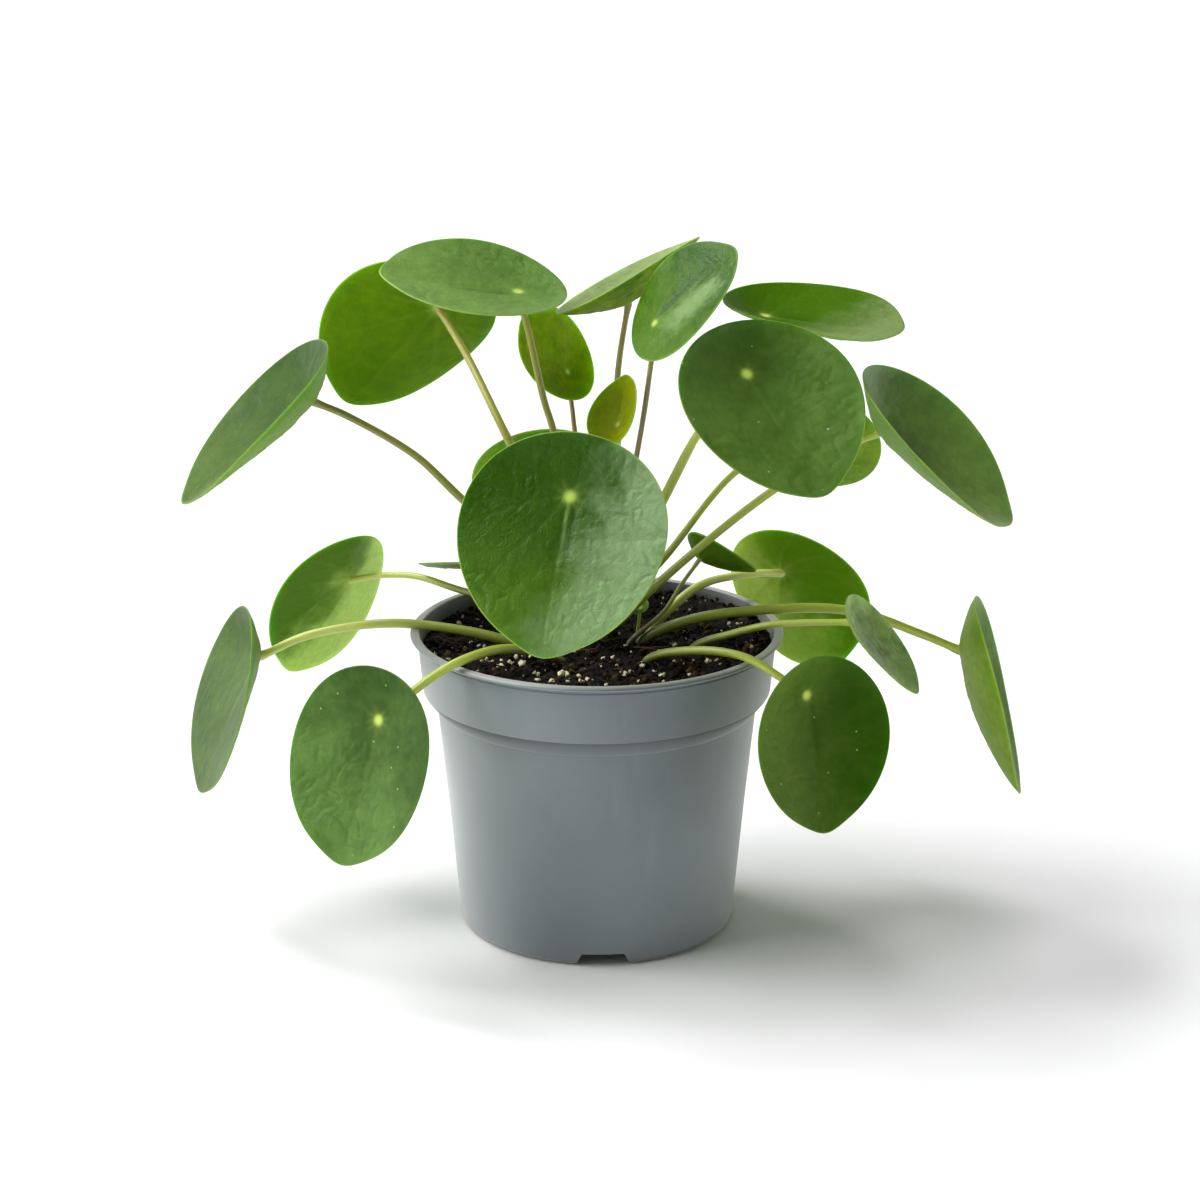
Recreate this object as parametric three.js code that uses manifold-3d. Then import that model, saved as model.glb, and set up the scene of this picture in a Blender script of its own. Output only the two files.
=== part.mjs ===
// A potted pilea: round blades on long arching petioles, in a blue-grey nursery pot.
// Millimetres, +Z up. The pot's axis is the Z axis and its foot stands on Z = 0.
// +X is to the right and -Y is to the front, where the largest blade faces.

import * as THREE from "three";
import { mergeVertices } from "three/addons/utils/BufferGeometryUtils.js";
import Module from "manifold-3d";

const wasm = await Module();
wasm.setup();

// Clearances between pieces that touch on the real plant.
const CONTACT_GAP = 0.3;
const HUB_GAP = 0.4;

// Pot
const POT_HEIGHT = 98.6;
const POT_SIDES = 56;
const POT_WALL = 1.0;
const LIP_RADIUS = 60;
const LIP_HEIGHT = 2.0;
const LIP_ROUNDING = 0.6;
const COLLAR_TOP_RADIUS = 57.7;
const COLLAR_BASE_RADIUS = 56.1;
const COLLAR_BASE_Z = 79.2;
const SHOULDER_RADIUS = 51.2;
const SHOULDER_Z = 73.6;
const FOOT_RADIUS = 44.9;
const FOOT_ROUNDING = 3.0;
const FOOT_RING_INSET = 2.1;
const FOOT_RING_WIDTH = 1.2;
const FLOOR_UNDERSIDE_Z = 4.8;
const FLOOR_TOP_Z = 6.0;
const NOTCH_COUNT = 3;
const NOTCH_FRONT_ANGLE = -87.5;
const NOTCH_HEIGHT = 4.2;
const NOTCH_TOP_WIDTH = 13.4;
const NOTCH_BASE_WIDTH = 17.5;
const NOTCH_CORNER = 0.8;
const DRAIN_HOLE_COUNT = 6;
const DRAIN_HOLE_RADIUS = 3.5;
const DRAIN_RING_RADIUS = 28;

// Soil
const SOIL_LEVEL = 93.3;
const SOIL_MOUND = 1.6;
const SOIL_MOUND_RADIUS = 22;
const SOIL_SLOPE = -0.014;
const SOIL_SWELL = 0.55;
const SOIL_CRUMB = 0.45;
const SOIL_RINGS = [6, 12, 19, 27, 35, 43, 49, 53];

// Main stem
const STEM_BASE_Z = 68;
const STEM_TOP_Z = 121;
const STEM_BASE_RADIUS = 4.7;
const STEM_TOP_RADIUS = 3.3;
const STEM_SIDES = 16;
const STEM_NODES = 7;

// Blades
const BLADE_THICKNESS = 0.8;
const BLADE_RINGS = [0.3, 0.6, 0.84, 1];
const BLADE_SPOKES = 28;
const YOUNG_BLADE_RINGS = [0.4, 0.76, 1];
const YOUNG_BLADE_SPOKES = 20;
const YOUNG_BLADE_LENGTH = 40;
const EGG_SHAPE = 0.12;
const TIP_LENGTH_SHARE = 0.03;
const TIP_WIDTH = 0.28;
const SPOKE_CROWDING = 0.3;
const CUP_POWER = 1.35;
const MIDRIB_DEPTH = 0.5;
const MIDRIB_WIDTH = 0.24;

// Petioles
const PETIOLE_SIDES = 7;
const PETIOLE_STEP = 8;
const PETIOLE_RISE = 2.4;
const PETIOLE_SEAT = 0.75;
const HUB_LEAD = 3.2;
const HUB_LEAD_SHARE = 0.12;
const ROOT_DEPTH = 7;
const ROOT_LEAN = 0.9;
const HOLE_CLEARANCE = 0.5;

// Colours and finishes
const POT_FINISH = { color: 0x7d858c, roughness: 0.62, metalness: 0 };
const SOIL_FINISH = { color: 0x2a1f19, roughness: 1, metalness: 0 };
const STEM_FINISH = { color: 0x6d6a3c, roughness: 0.7, metalness: 0 };
const BLADE_FINISH = { color: 0x4a7a2c, roughness: 0.38, metalness: 0 };
const YOUNG_BLADE_FINISH = { color: 0x6b8512, roughness: 0.38, metalness: 0 };
const PETIOLE_FINISH = { color: 0x8a9a45, roughness: 0.5, metalness: 0 };
const YOUNG_PETIOLE_FINISH = { color: 0x77693f, roughness: 0.5, metalness: 0 };

// The leaves. For each one:
//   hub       where the petiole meets the blade
//   facing    compass bearing and height of the upper face's normal, in degrees;
//             bearing 0 looks to the front (-Y) and 90 to the right (+X)
//   turn      how far the tip is turned from straight down the slope, in degrees
//   length, width, base: base is the share of the length behind the hub
//   cup       how far the rim stands above the hub
//   saddle    rise of tip and base, and fall of the two sides
//   twist     rise of one diagonal and fall of the other
//   wave      height of the rim's slow waves
//   belly     how much deeper than a plain cup it is between hub and tip
//   petiole   radius at the root and at the hub
//   root      where it starts: a bearing and height on the stem, or a point on the soil
//   path      points that the petiole passes between its root and the hub
const LEAVES = [
  {
    name: "back_upper_left",
    hub: [-52.5, 53, 193],
    facing: [193, 30],
    turn: 33,
    size: { length: 63, width: 57.5, base: 0.22 },
    form: { cup: 5, saddle: -3.5, twist: 0, wave: 0.5 },
    petiole: [1.5, 1.2],
    root: { stem: [120, 109] },
    path: [[-28, 18, 155.5], [-42, 40, 180]],
  },
  {
    name: "top_left",
    hub: [-24.5, 0, 208.5],
    facing: [35, 73],
    turn: -114,
    size: { length: 57, width: 51, base: 0.26 },
    form: { cup: 3.6, saddle: -0.8, twist: -0.7, wave: 0.4 },
    petiole: [1.3, 1.0],
    root: { stem: [205, 116] },
    path: [[-13.5, -4, 164.5], [-16.5, -3, 174.5], [-21.5, -1, 198]],
  },
  {
    name: "left_upper",
    hub: [-90, 4, 173],
    facing: [-78, 44],
    turn: -1,
    size: { length: 66.5, width: 59, base: 0.25 },
    form: { cup: 10, saddle: -1.2, twist: -0.2, wave: 0.3 },
    petiole: [1.5, 1.1],
    root: { stem: [182, 108] },
    path: [[-42, -2, 141.5], [-57.5, 0, 156], [-79, 3, 169]],
  },
  {
    name: "young_back",
    hub: [-9.5, 28, 176.5],
    facing: [49, 25],
    turn: -141,
    size: { length: 33, width: 30, base: 0.25 },
    form: { cup: 3.8, saddle: 0.5, twist: -1.8, wave: 0 },
    petiole: [0.95, 0.75],
    root: { stem: [80, 116] },
    path: [[-7, 21, 158], [-8.5, 26, 168]],
    young: true,
  },
  {
    name: "front_centre",
    hub: [-8, -55, 157.5],
    facing: [-8, 30],
    turn: -5,
    size: { length: 67, width: 62.5, base: 0.28 },
    form: { cup: 4.5, saddle: 0, twist: -1, wave: 0.5 },
    petiole: [1.5, 1.2],
    root: { stem: [262, 106] },
    path: [[-4, -26, 131], [-7, -46, 149]],
  },
  {
    name: "back_centre",
    hub: [-17, 45, 140],
    facing: [184, 28],
    turn: 0,
    size: { length: 54, width: 48.5, base: 0.26 },
    form: { cup: 4, saddle: -0.5, twist: 0, wave: 0.4 },
    petiole: [1.4, 1.1],
    root: { stem: [110, 101] },
    path: [[-10, 25, 120]],
  },
  {
    name: "top_centre",
    hub: [9.5, 17, 202],
    facing: [-103, 61],
    turn: 152,
    size: { length: 52, width: 49.5, base: 0.36 },
    form: { cup: 8, saddle: 0.6, twist: -0.3, wave: 0.2 },
    petiole: [1.1, 0.9],
    root: { stem: [48, 118] },
    path: [[6, 11, 179]],
  },
  {
    name: "top_right",
    hub: [17.5, -28, 204.5],
    facing: [-57, 36],
    turn: 156,
    size: { length: 42.5, width: 37.5, base: 0.25 },
    form: { cup: -1, saddle: -1.2, twist: 0.9, wave: 0.4 },
    petiole: [0.9, 0.8],
    root: { stem: [318, 117] },
    path: [[12.5, -14, 160], [15, -20, 177.5], [17, -26, 192]],
    young: true,
  },
  {
    name: "young_front",
    hub: [6.5, -24, 172],
    facing: [-54, 32],
    turn: 198,
    size: { length: 23, width: 20.5, base: 0.34 },
    form: { cup: 3, saddle: -0.9, twist: -0.3, wave: 0 },
    petiole: [0.8, 0.7],
    root: { stem: [282, 118] },
    path: [[6, -19, 150], [7, -23, 164]],
    young: true,
  },
  {
    name: "right_top",
    hub: [53.5, 16, 197.5],
    facing: [39, 81],
    turn: 33,
    size: { length: 56.5, width: 50.5, base: 0.24 },
    form: { cup: 5.6, saddle: -0.8, twist: 1.4, wave: 0.5 },
    petiole: [1.4, 1.1],
    root: { stem: [22, 110] },
    path: [[21.5, 5, 140], [33, 8, 164]],
  },
  {
    name: "right_front",
    hub: [45, -40, 191.5],
    facing: [16, 43],
    turn: 17,
    size: { length: 60.5, width: 55.5, base: 0.26 },
    form: { cup: 6, saddle: -1.6, twist: 1.2, wave: 0.6 },
    petiole: [1.5, 1.2],
    root: { stem: [325, 110] },
    path: [[20.5, -14, 145], [30.5, -25, 170]],
  },
  {
    name: "right_back",
    hub: [72.5, 22, 161.5],
    facing: [150, 35],
    turn: 12,
    size: { length: 46.5, width: 38, base: 0.25 },
    form: { cup: 3, saddle: -0.5, twist: 0, wave: 0.3 },
    petiole: [1.2, 1.0],
    root: { stem: [12, 103] },
    path: [[22, 5, 121], [44, 12, 148]],
  },
  {
    name: "right_outer",
    hub: [90, 4, 163],
    facing: [71, 44],
    turn: 16,
    size: { length: 67, width: 60, base: 0.26 },
    form: { cup: 11, saddle: -2, twist: 1.3, wave: 0.3, belly: 0.6 },
    petiole: [1.4, 1.2],
    root: { stem: [340, 99] },
    path: [[18, -3, 113], [56, 0, 144.5], [85.5, 3, 161.5]],
  },
  {
    name: "left_outer_low",
    hub: [-110, 4, 88],
    facing: [-71, 17],
    turn: -2,
    size: { length: 61.5, width: 55, base: 0.23 },
    form: { cup: 7.7, saddle: -0.5, twist: -1, wave: 0.3, belly: -1.2 },
    petiole: [1.7, 1.3],
    root: { soil: [-17, -11] },
    path: [[-29, -8, 97], [-41, -5, 99], [-67, -1, 100.5], [-94, 3, 96]],
  },
  {
    name: "left_back_low",
    hub: [-83, 42, 102.5],
    facing: [225, 19],
    turn: 25,
    size: { length: 52.5, width: 47, base: 0.3 },
    form: { cup: 3.2, saddle: -1.1, twist: 2.2, wave: 0.5 },
    petiole: [1.3, 1.0],
    root: { stem: [150, 100] },
    path: [[-41.5, 16, 105.5], [-60, 28, 107.5], [-72, 36, 106]],
  },
  {
    name: "left_front_low",
    hub: [-67, -50, 85],
    facing: [-36, 18],
    turn: -1,
    size: { length: 60, width: 54, base: 0.27 },
    form: { cup: 5.8, saddle: -0.9, twist: -1.1, wave: 0.7 },
    petiole: [1.6, 1.3],
    root: { soil: [-11, -22] },
    path: [[-27.5, -33, 102.5], [-43.5, -43, 101], [-57, -47.5, 94]],
  },
  {
    name: "right_front_low",
    hub: [64.5, -47, 92],
    facing: [31, 9],
    turn: -1,
    size: { length: 53.5, width: 48, base: 0.24 },
    form: { cup: 8, saddle: -0.9, twist: 1.1, wave: 0.5 },
    petiole: [1.5, 1.2],
    root: { soil: [16, -20] },
    path: [[30, -29, 100.5], [45.5, -38, 101.5], [56.5, -44, 97.5]],
  },
  {
    name: "right_back_low",
    hub: [62, 42, 105],
    facing: [155, 18],
    turn: -23,
    size: { length: 54, width: 48.5, base: 0.29 },
    form: { cup: 2.5, saddle: -1.1, twist: -3.4, wave: 0.5 },
    petiole: [1.6, 1.2],
    root: { soil: [17, 8] },
    path: [[27.5, 17, 103], [36, 24, 106.5], [53.5, 36, 106.5]],
  },
  {
    name: "right_small_low",
    hub: [80, -26, 109.5],
    facing: [75, 40],
    turn: -9,
    size: { length: 36, width: 32, base: 0.19 },
    form: { cup: 4, saddle: 0, twist: 0, wave: 0.2 },
    petiole: [1.3, 1.0],
    root: { soil: [31, -6] },
    path: [[43, -12, 100.5], [55, -18, 105.5], [64, -22, 107.5]],
  },
  {
    name: "right_outer_low",
    hub: [117, -8, 94],
    facing: [84, 15],
    turn: -23,
    size: { length: 62.5, width: 56, base: 0.25 },
    form: { cup: 9, saddle: -0.6, twist: -0.4, wave: 0.3, belly: 2.4 },
    petiole: [1.8, 1.3],
    root: { soil: [14, -2] },
    path: [[27, -2, 101], [51.5, -3, 105.5], [81, -5, 106], [104, -7, 99]],
  },
  {
    name: "young_right",
    hub: [33.5, 8, 120],
    facing: [137, 47],
    turn: -50,
    size: { length: 24, width: 21.5, base: 0.29 },
    form: { cup: 4.3, saddle: 0.6, twist: 0.2, wave: 0 },
    petiole: [0.8, 0.65],
    root: { soil: [10, -5] },
    path: [[21.5, 0, 104], [27, 4, 112]],
    young: true,
  },
  {
    name: "seedling",
    hub: [14, 3, 104.5],
    facing: [-15, 60],
    turn: -70,
    size: { length: 8, width: 7, base: 0.35 },
    form: { cup: 1.4, saddle: 0, twist: 0, wave: 0 },
    petiole: [0.6, 0.5],
    root: { soil: [13, 2] },
    path: [],
    young: true,
  },
  {
    name: "left_back_edge",
    hub: [-38.5, 26, 111.5],
    facing: [184, 74],
    turn: 90,
    size: { length: 32, width: 28, base: 0.4 },
    form: { cup: 1.5, saddle: 0, twist: 0, wave: 0 },
    petiole: [1.1, 0.9],
    root: { stem: [165, 104] },
    path: [[-22, 13, 108]],
  },
];

// Geometry helpers

function radians(degrees) {
  return THREE.MathUtils.degToRad(degrees);
}

function vector(point) {
  return new THREE.Vector3(...point);
}

function toSolid(geometry) {
  const source = geometry.clone();
  source.deleteAttribute("normal");
  source.deleteAttribute("uv");
  const merged = mergeVertices(source, 1e-3);
  const mesh = new wasm.Mesh({
    numProp: 3,
    vertProperties: merged.attributes.position.array,
    triVerts: new Uint32Array(merged.index.array),
  });
  return new wasm.Manifold(mesh);
}

function toGeometry(solid) {
  const mesh = solid.getMesh();
  const geometry = new THREE.BufferGeometry();
  geometry.setAttribute("position", new THREE.BufferAttribute(mesh.vertProperties, 3));
  geometry.setIndex(new THREE.BufferAttribute(mesh.triVerts, 1));
  return geometry;
}

// A lathe profile of [radius, height] pairs, turned round the Z axis.
function turned(profile, sides) {
  const points = profile.map(([radius, height]) => new THREE.Vector2(radius, height));
  return new THREE.LatheGeometry(points, sides).rotateX(Math.PI / 2);
}

// A regular polygon in the XY plane.
function ringShape(radius, sides) {
  const shape = new THREE.Shape();
  for (let i = 0; i < sides; i++) {
    const angle = (2 * Math.PI * i) / sides;
    const x = radius * Math.cos(angle);
    const y = radius * Math.sin(angle);
    if (i === 0) shape.moveTo(x, y);
    else shape.lineTo(x, y);
  }
  return shape;
}

// Pot

// Inner radius of the wall at a height.
function potInnerRadius(z) {
  const shoulderInner = SHOULDER_RADIUS - POT_WALL;
  const collarInner = COLLAR_BASE_RADIUS - POT_WALL;
  if (z <= SHOULDER_Z) {
    const share = (z - FOOT_ROUNDING) / (SHOULDER_Z - FOOT_ROUNDING);
    return THREE.MathUtils.lerp(FOOT_RADIUS - POT_WALL, shoulderInner, share);
  }
  if (z <= COLLAR_BASE_Z) {
    const share = (z - SHOULDER_Z) / (COLLAR_BASE_Z - SHOULDER_Z);
    return THREE.MathUtils.lerp(shoulderInner, collarInner, share);
  }
  const share = (z - COLLAR_BASE_Z) / (POT_HEIGHT - LIP_HEIGHT - COLLAR_BASE_Z);
  return THREE.MathUtils.lerp(collarInner, COLLAR_TOP_RADIUS - POT_WALL, share);
}

// A prism that is wider at its base, reaching out from the axis through the foot.
function notchSolid(angle) {
  const shape = new THREE.Shape();
  shape.moveTo(-NOTCH_BASE_WIDTH / 2, -1);
  shape.lineTo(NOTCH_BASE_WIDTH / 2, -1);
  shape.lineTo(NOTCH_BASE_WIDTH / 2, 0);
  shape.lineTo(NOTCH_TOP_WIDTH / 2 + NOTCH_CORNER / 2, NOTCH_HEIGHT - NOTCH_CORNER);
  shape.lineTo(NOTCH_TOP_WIDTH / 2 - NOTCH_CORNER / 2, NOTCH_HEIGHT);
  shape.lineTo(-NOTCH_TOP_WIDTH / 2 + NOTCH_CORNER / 2, NOTCH_HEIGHT);
  shape.lineTo(-NOTCH_TOP_WIDTH / 2 - NOTCH_CORNER / 2, NOTCH_HEIGHT - NOTCH_CORNER);
  shape.lineTo(-NOTCH_BASE_WIDTH / 2, 0);
  const geometry = new THREE.ExtrudeGeometry(shape, { depth: 20, bevelEnabled: false });
  geometry.rotateX(Math.PI / 2);
  geometry.translate(0, FOOT_RADIUS + 5, 0);
  geometry.rotateZ(radians(angle - 90));
  return toSolid(geometry);
}

function drainHoleSolid(angle) {
  const hole = new THREE.CylinderGeometry(DRAIN_HOLE_RADIUS, DRAIN_HOLE_RADIUS, 6, 12);
  hole.rotateX(Math.PI / 2);
  hole.translate(DRAIN_RING_RADIUS, 0, (FLOOR_UNDERSIDE_Z + FLOOR_TOP_Z) / 2);
  hole.rotateZ(radians(angle));
  return toSolid(hole);
}

function potGeometry() {
  const lipBottom = POT_HEIGHT - LIP_HEIGHT;
  const skirt = FOOT_RADIUS - POT_WALL;
  const ring = FOOT_RADIUS - FOOT_RING_INSET;
  const profile = [
    [0, FLOOR_UNDERSIDE_Z],
    [skirt - 0.2, FLOOR_UNDERSIDE_Z],
    [skirt - 0.4, FOOT_ROUNDING * 0.8],
    [skirt - 1.2, FOOT_ROUNDING * 0.3],
    [ring - FOOT_RING_WIDTH, 0],
    [ring, 0],
    [FOOT_RADIUS - 0.9, FOOT_ROUNDING * 0.2],
    [FOOT_RADIUS - 0.2, FOOT_ROUNDING * 0.6],
    [FOOT_RADIUS, FOOT_ROUNDING],
    [SHOULDER_RADIUS, SHOULDER_Z],
    [COLLAR_BASE_RADIUS - 0.7, COLLAR_BASE_Z - 1],
    [COLLAR_BASE_RADIUS, COLLAR_BASE_Z],
    [COLLAR_TOP_RADIUS, lipBottom - LIP_ROUNDING / 2],
    [LIP_RADIUS - LIP_ROUNDING, lipBottom],
    [LIP_RADIUS, lipBottom + LIP_ROUNDING],
    [LIP_RADIUS, POT_HEIGHT - LIP_ROUNDING],
    [LIP_RADIUS - LIP_ROUNDING, POT_HEIGHT],
    [COLLAR_TOP_RADIUS - POT_WALL / 2, POT_HEIGHT],
    [COLLAR_TOP_RADIUS - POT_WALL, lipBottom],
    [potInnerRadius(COLLAR_BASE_Z), COLLAR_BASE_Z],
    [potInnerRadius(SHOULDER_Z), SHOULDER_Z],
    [potInnerRadius(FLOOR_TOP_Z), FLOOR_TOP_Z],
    [0, FLOOR_TOP_Z],
  ];
  let pot = toSolid(turned(profile, POT_SIDES));
  for (let i = 0; i < NOTCH_COUNT; i++) {
    pot = pot.subtract(notchSolid(NOTCH_FRONT_ANGLE + (360 * i) / NOTCH_COUNT));
  }
  for (let i = 0; i < DRAIN_HOLE_COUNT; i++) {
    pot = pot.subtract(drainHoleSolid((360 * (i + 0.5)) / DRAIN_HOLE_COUNT));
  }
  return toGeometry(pot);
}

// Soil

// Height of the soil's surface: a low mound round the stem, and crumbs of peat.
function soilHeight(x, y) {
  const mound = SOIL_MOUND * Math.exp(-(x * x + y * y) / SOIL_MOUND_RADIUS ** 2);
  const swell = SOIL_SWELL * Math.sin(0.19 * x + 1.3) * Math.cos(0.17 * y - 0.4);
  const waves = Math.sin(0.61 * x - 0.37 * y + 2) * Math.cos(0.43 * x + 0.52 * y);
  return SOIL_LEVEL + mound + SOIL_SLOPE * y + swell + SOIL_CRUMB * waves;
}

function soilBody() {
  const positions = [];
  const faces = [];
  const sideHeights = [COLLAR_BASE_Z, SHOULDER_Z, FLOOR_TOP_Z + CONTACT_GAP];
  const sideRadius = (z) => potInnerRadius(z) - CONTACT_GAP;
  const circle = (radius, height) => {
    for (let i = 0; i < POT_SIDES; i++) {
      const angle = (2 * Math.PI * i) / POT_SIDES;
      const x = radius * Math.sin(angle);
      const y = -radius * Math.cos(angle);
      positions.push(x, y, height === null ? soilHeight(x, y) : height);
    }
  };
  positions.push(0, 0, soilHeight(0, 0));
  for (const radius of SOIL_RINGS) circle(radius, null);
  circle(sideRadius(SOIL_LEVEL - 1), null);
  for (const height of sideHeights) circle(sideRadius(height), height);
  positions.push(0, 0, FLOOR_TOP_Z + CONTACT_GAP);
  const rings = SOIL_RINGS.length + 1 + sideHeights.length;
  const last = positions.length / 3 - 1;
  const at = (ring, i) => 1 + ring * POT_SIDES + (i % POT_SIDES);
  for (let i = 0; i < POT_SIDES; i++) {
    faces.push(0, at(0, i), at(0, i + 1));
    faces.push(last, at(rings - 1, i + 1), at(rings - 1, i));
    for (let ring = 0; ring + 1 < rings; ring++) {
      faces.push(at(ring, i), at(ring + 1, i), at(ring + 1, i + 1));
      faces.push(at(ring, i), at(ring + 1, i + 1), at(ring, i + 1));
    }
  }
  const geometry = new THREE.BufferGeometry();
  geometry.setAttribute("position", new THREE.Float32BufferAttribute(positions, 3));
  geometry.setIndex(faces);
  return toSolid(geometry);
}

// Main stem

function stemRadius(z) {
  const share = (z - STEM_BASE_Z) / (STEM_TOP_Z - STEM_BASE_Z);
  return THREE.MathUtils.lerp(STEM_BASE_RADIUS, STEM_TOP_RADIUS, share);
}

// Swollen joints where leaves have grown, and a blunt growing tip.
function stemProfile() {
  const profile = [[0, STEM_BASE_Z]];
  const pitch = (STEM_TOP_Z - STEM_BASE_Z) / STEM_NODES;
  for (let i = 0; i < STEM_NODES; i++) {
    const z = STEM_BASE_Z + i * pitch;
    profile.push([stemRadius(z), z]);
    profile.push([stemRadius(z) - 0.4, z + pitch * 0.55]);
  }
  profile.push([STEM_TOP_RADIUS, STEM_TOP_Z]);
  profile.push([STEM_TOP_RADIUS * 0.7, STEM_TOP_Z + 2]);
  profile.push([0, STEM_TOP_Z + 3]);
  return profile;
}

// Blades

// Upper-face normal, tip direction and side direction of a leaf.
function leafAxes(leaf) {
  const [bearing, height] = leaf.facing.map(radians);
  const turn = radians(leaf.turn);
  const level = new THREE.Vector3(Math.sin(bearing), -Math.cos(bearing), 0);
  const up = new THREE.Vector3(0, 0, 1);
  const normal = level.clone().multiplyScalar(Math.cos(height));
  normal.addScaledVector(up, Math.sin(height));
  const downhill = level.clone().multiplyScalar(Math.sin(height));
  downhill.addScaledVector(up, -Math.cos(height));
  const across = new THREE.Vector3().crossVectors(normal, downhill);
  const tip = downhill.multiplyScalar(Math.cos(turn)).addScaledVector(across, Math.sin(turn));
  const side = new THREE.Vector3().crossVectors(normal, tip);
  return { normal, tip, side };
}

// A point of the blade's upper face: angle 0 is the tip, reach runs from hub to rim.
function bladePoint(leaf, axes, angle, reach) {
  const { length, width, base } = leaf.size;
  const { cup, saddle, twist, wave, belly = 0 } = leaf.form;
  const tipBump = TIP_LENGTH_SHARE * length * Math.exp(-((angle / TIP_WIDTH) ** 2));
  const along = length * (0.5 - base + 0.5 * Math.cos(angle)) + tipBump;
  const across = (width / 2) * Math.sin(angle) * (1 - EGG_SHAPE * Math.cos(angle));
  const rimHeight = cup + saddle * Math.cos(2 * angle) + twist * Math.sin(2 * angle);
  const ripple = wave * Math.sin(3 * angle + leaf.size.length);
  const midrib = MIDRIB_DEPTH * Math.exp(-((angle / MIDRIB_WIDTH) ** 2));
  const tipSide = 0.5 + 0.5 * Math.cos(angle);
  const sag = 4 * reach * (1 - reach) * (belly * tipSide + midrib);
  const rise = rimHeight * reach ** CUP_POWER + ripple * reach ** 2 - sag;
  return vector(leaf.hub)
    .addScaledVector(axes.tip, along * reach)
    .addScaledVector(axes.side, across * reach)
    .addScaledVector(axes.normal, rise);
}

// Two like faces, split into triangles in the same way, joined by a narrow rim.
function bladeGeometry(leaf) {
  const small = leaf.size.length < YOUNG_BLADE_LENGTH;
  const reaches = small ? YOUNG_BLADE_RINGS : BLADE_RINGS;
  const spokes = small ? YOUNG_BLADE_SPOKES : BLADE_SPOKES;
  const axes = leafAxes(leaf);
  const positions = [];
  const faces = [];
  const addFace = (offset) => {
    const place = (point) => {
      point.addScaledVector(axes.normal, offset);
      positions.push(point.x, point.y, point.z);
    };
    place(vector(leaf.hub));
    for (const reach of reaches) {
      for (let i = 0; i < spokes; i++) {
        const even = (2 * Math.PI * i) / spokes - Math.PI;
        place(bladePoint(leaf, axes, even - SPOKE_CROWDING * Math.sin(even), reach));
      }
    }
  };
  addFace(0);
  addFace(-BLADE_THICKNESS);
  const faceSize = 1 + reaches.length * spokes;
  const at = (face, ring, i) => face * faceSize + 1 + ring * spokes + (i % spokes);
  const addTriangle = (face, a, b, c) => {
    if (face === 0) faces.push(a, b, c);
    else faces.push(a, c, b);
  };
  const rim = reaches.length - 1;
  for (let i = 0; i < spokes; i++) {
    for (const face of [0, 1]) {
      addTriangle(face, face * faceSize, at(face, 0, i), at(face, 0, i + 1));
      for (let ring = 0; ring < rim; ring++) {
        const inner = at(face, ring, i);
        const outer = at(face, ring + 1, i);
        const outerNext = at(face, ring + 1, i + 1);
        const innerNext = at(face, ring, i + 1);
        addTriangle(face, inner, outer, outerNext);
        addTriangle(face, inner, outerNext, innerNext);
      }
    }
    faces.push(at(0, rim, i), at(1, rim, i), at(1, rim, i + 1));
    faces.push(at(0, rim, i), at(1, rim, i + 1), at(0, rim, i + 1));
  }
  const geometry = new THREE.BufferGeometry();
  geometry.setAttribute("position", new THREE.Float32BufferAttribute(positions, 3));
  geometry.setIndex(faces);
  return geometry;
}

// Petioles

// The centre line, from the stem or from under the soil to just below the hub.
function petiolePath(leaf) {
  const points = [];
  if (leaf.root.stem) {
    const [bearing, height] = leaf.root.stem;
    const outward = new THREE.Vector3(Math.cos(radians(bearing)), Math.sin(radians(bearing)), 0);
    const seat = stemRadius(height) + CONTACT_GAP + PETIOLE_SEAT * leaf.petiole[0];
    const start = outward.clone().multiplyScalar(seat).setZ(height);
    points.push(start);
    points.push(start.clone().addScaledVector(outward, PETIOLE_RISE).setZ(height + PETIOLE_RISE));
  } else {
    const [x, y] = leaf.root.soil;
    const surface = soilHeight(x, y);
    points.push(new THREE.Vector3(x * ROOT_LEAN, y * ROOT_LEAN, surface - ROOT_DEPTH));
    points.push(new THREE.Vector3(x, y, surface));
  }
  for (const point of leaf.path) points.push(vector(point));
  const normal = leafAxes(leaf).normal;
  const lead = Math.min(HUB_LEAD, leaf.size.length * HUB_LEAD_SHARE);
  const hub = vector(leaf.hub);
  points.push(hub.clone().addScaledVector(normal, -BLADE_THICKNESS - lead));
  points.push(hub.clone().addScaledVector(normal, -BLADE_THICKNESS - HUB_GAP));
  return new THREE.CatmullRomCurve3(points, false, "centripetal");
}

// A round tube along the petiole that tapers from its root to the hub. With a
// clearance it is the hole that the petiole stands in, wider and deeper by as much.
function petioleGeometry(leaf, clearance = 0) {
  const path = petiolePath(leaf);
  const steps = Math.max(4, Math.round(path.getLength() / PETIOLE_STEP));
  const centres = path.getSpacedPoints(steps);
  const tangents = centres.map((centre, i) => path.getTangentAt(i / steps));
  const geometry = new THREE.ExtrudeGeometry(ringShape(1, PETIOLE_SIDES), {
    steps,
    bevelEnabled: false,
    extrudePath: path,
  });
  const [rootRadius, hubRadius] = leaf.petiole;
  const position = geometry.attributes.position;
  const vertex = new THREE.Vector3();
  for (let i = 0; i < position.count; i++) {
    vertex.fromBufferAttribute(position, i);
    const ring = nearestRing(vertex, centres, tangents);
    const radius = THREE.MathUtils.lerp(rootRadius, hubRadius, ring / steps) + clearance;
    vertex.sub(centres[ring]).setLength(radius).add(centres[ring]);
    if (ring === 0) vertex.addScaledVector(tangents[0], -clearance);
    position.setXYZ(i, vertex.x, vertex.y, vertex.z);
  }
  return geometry;
}

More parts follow.
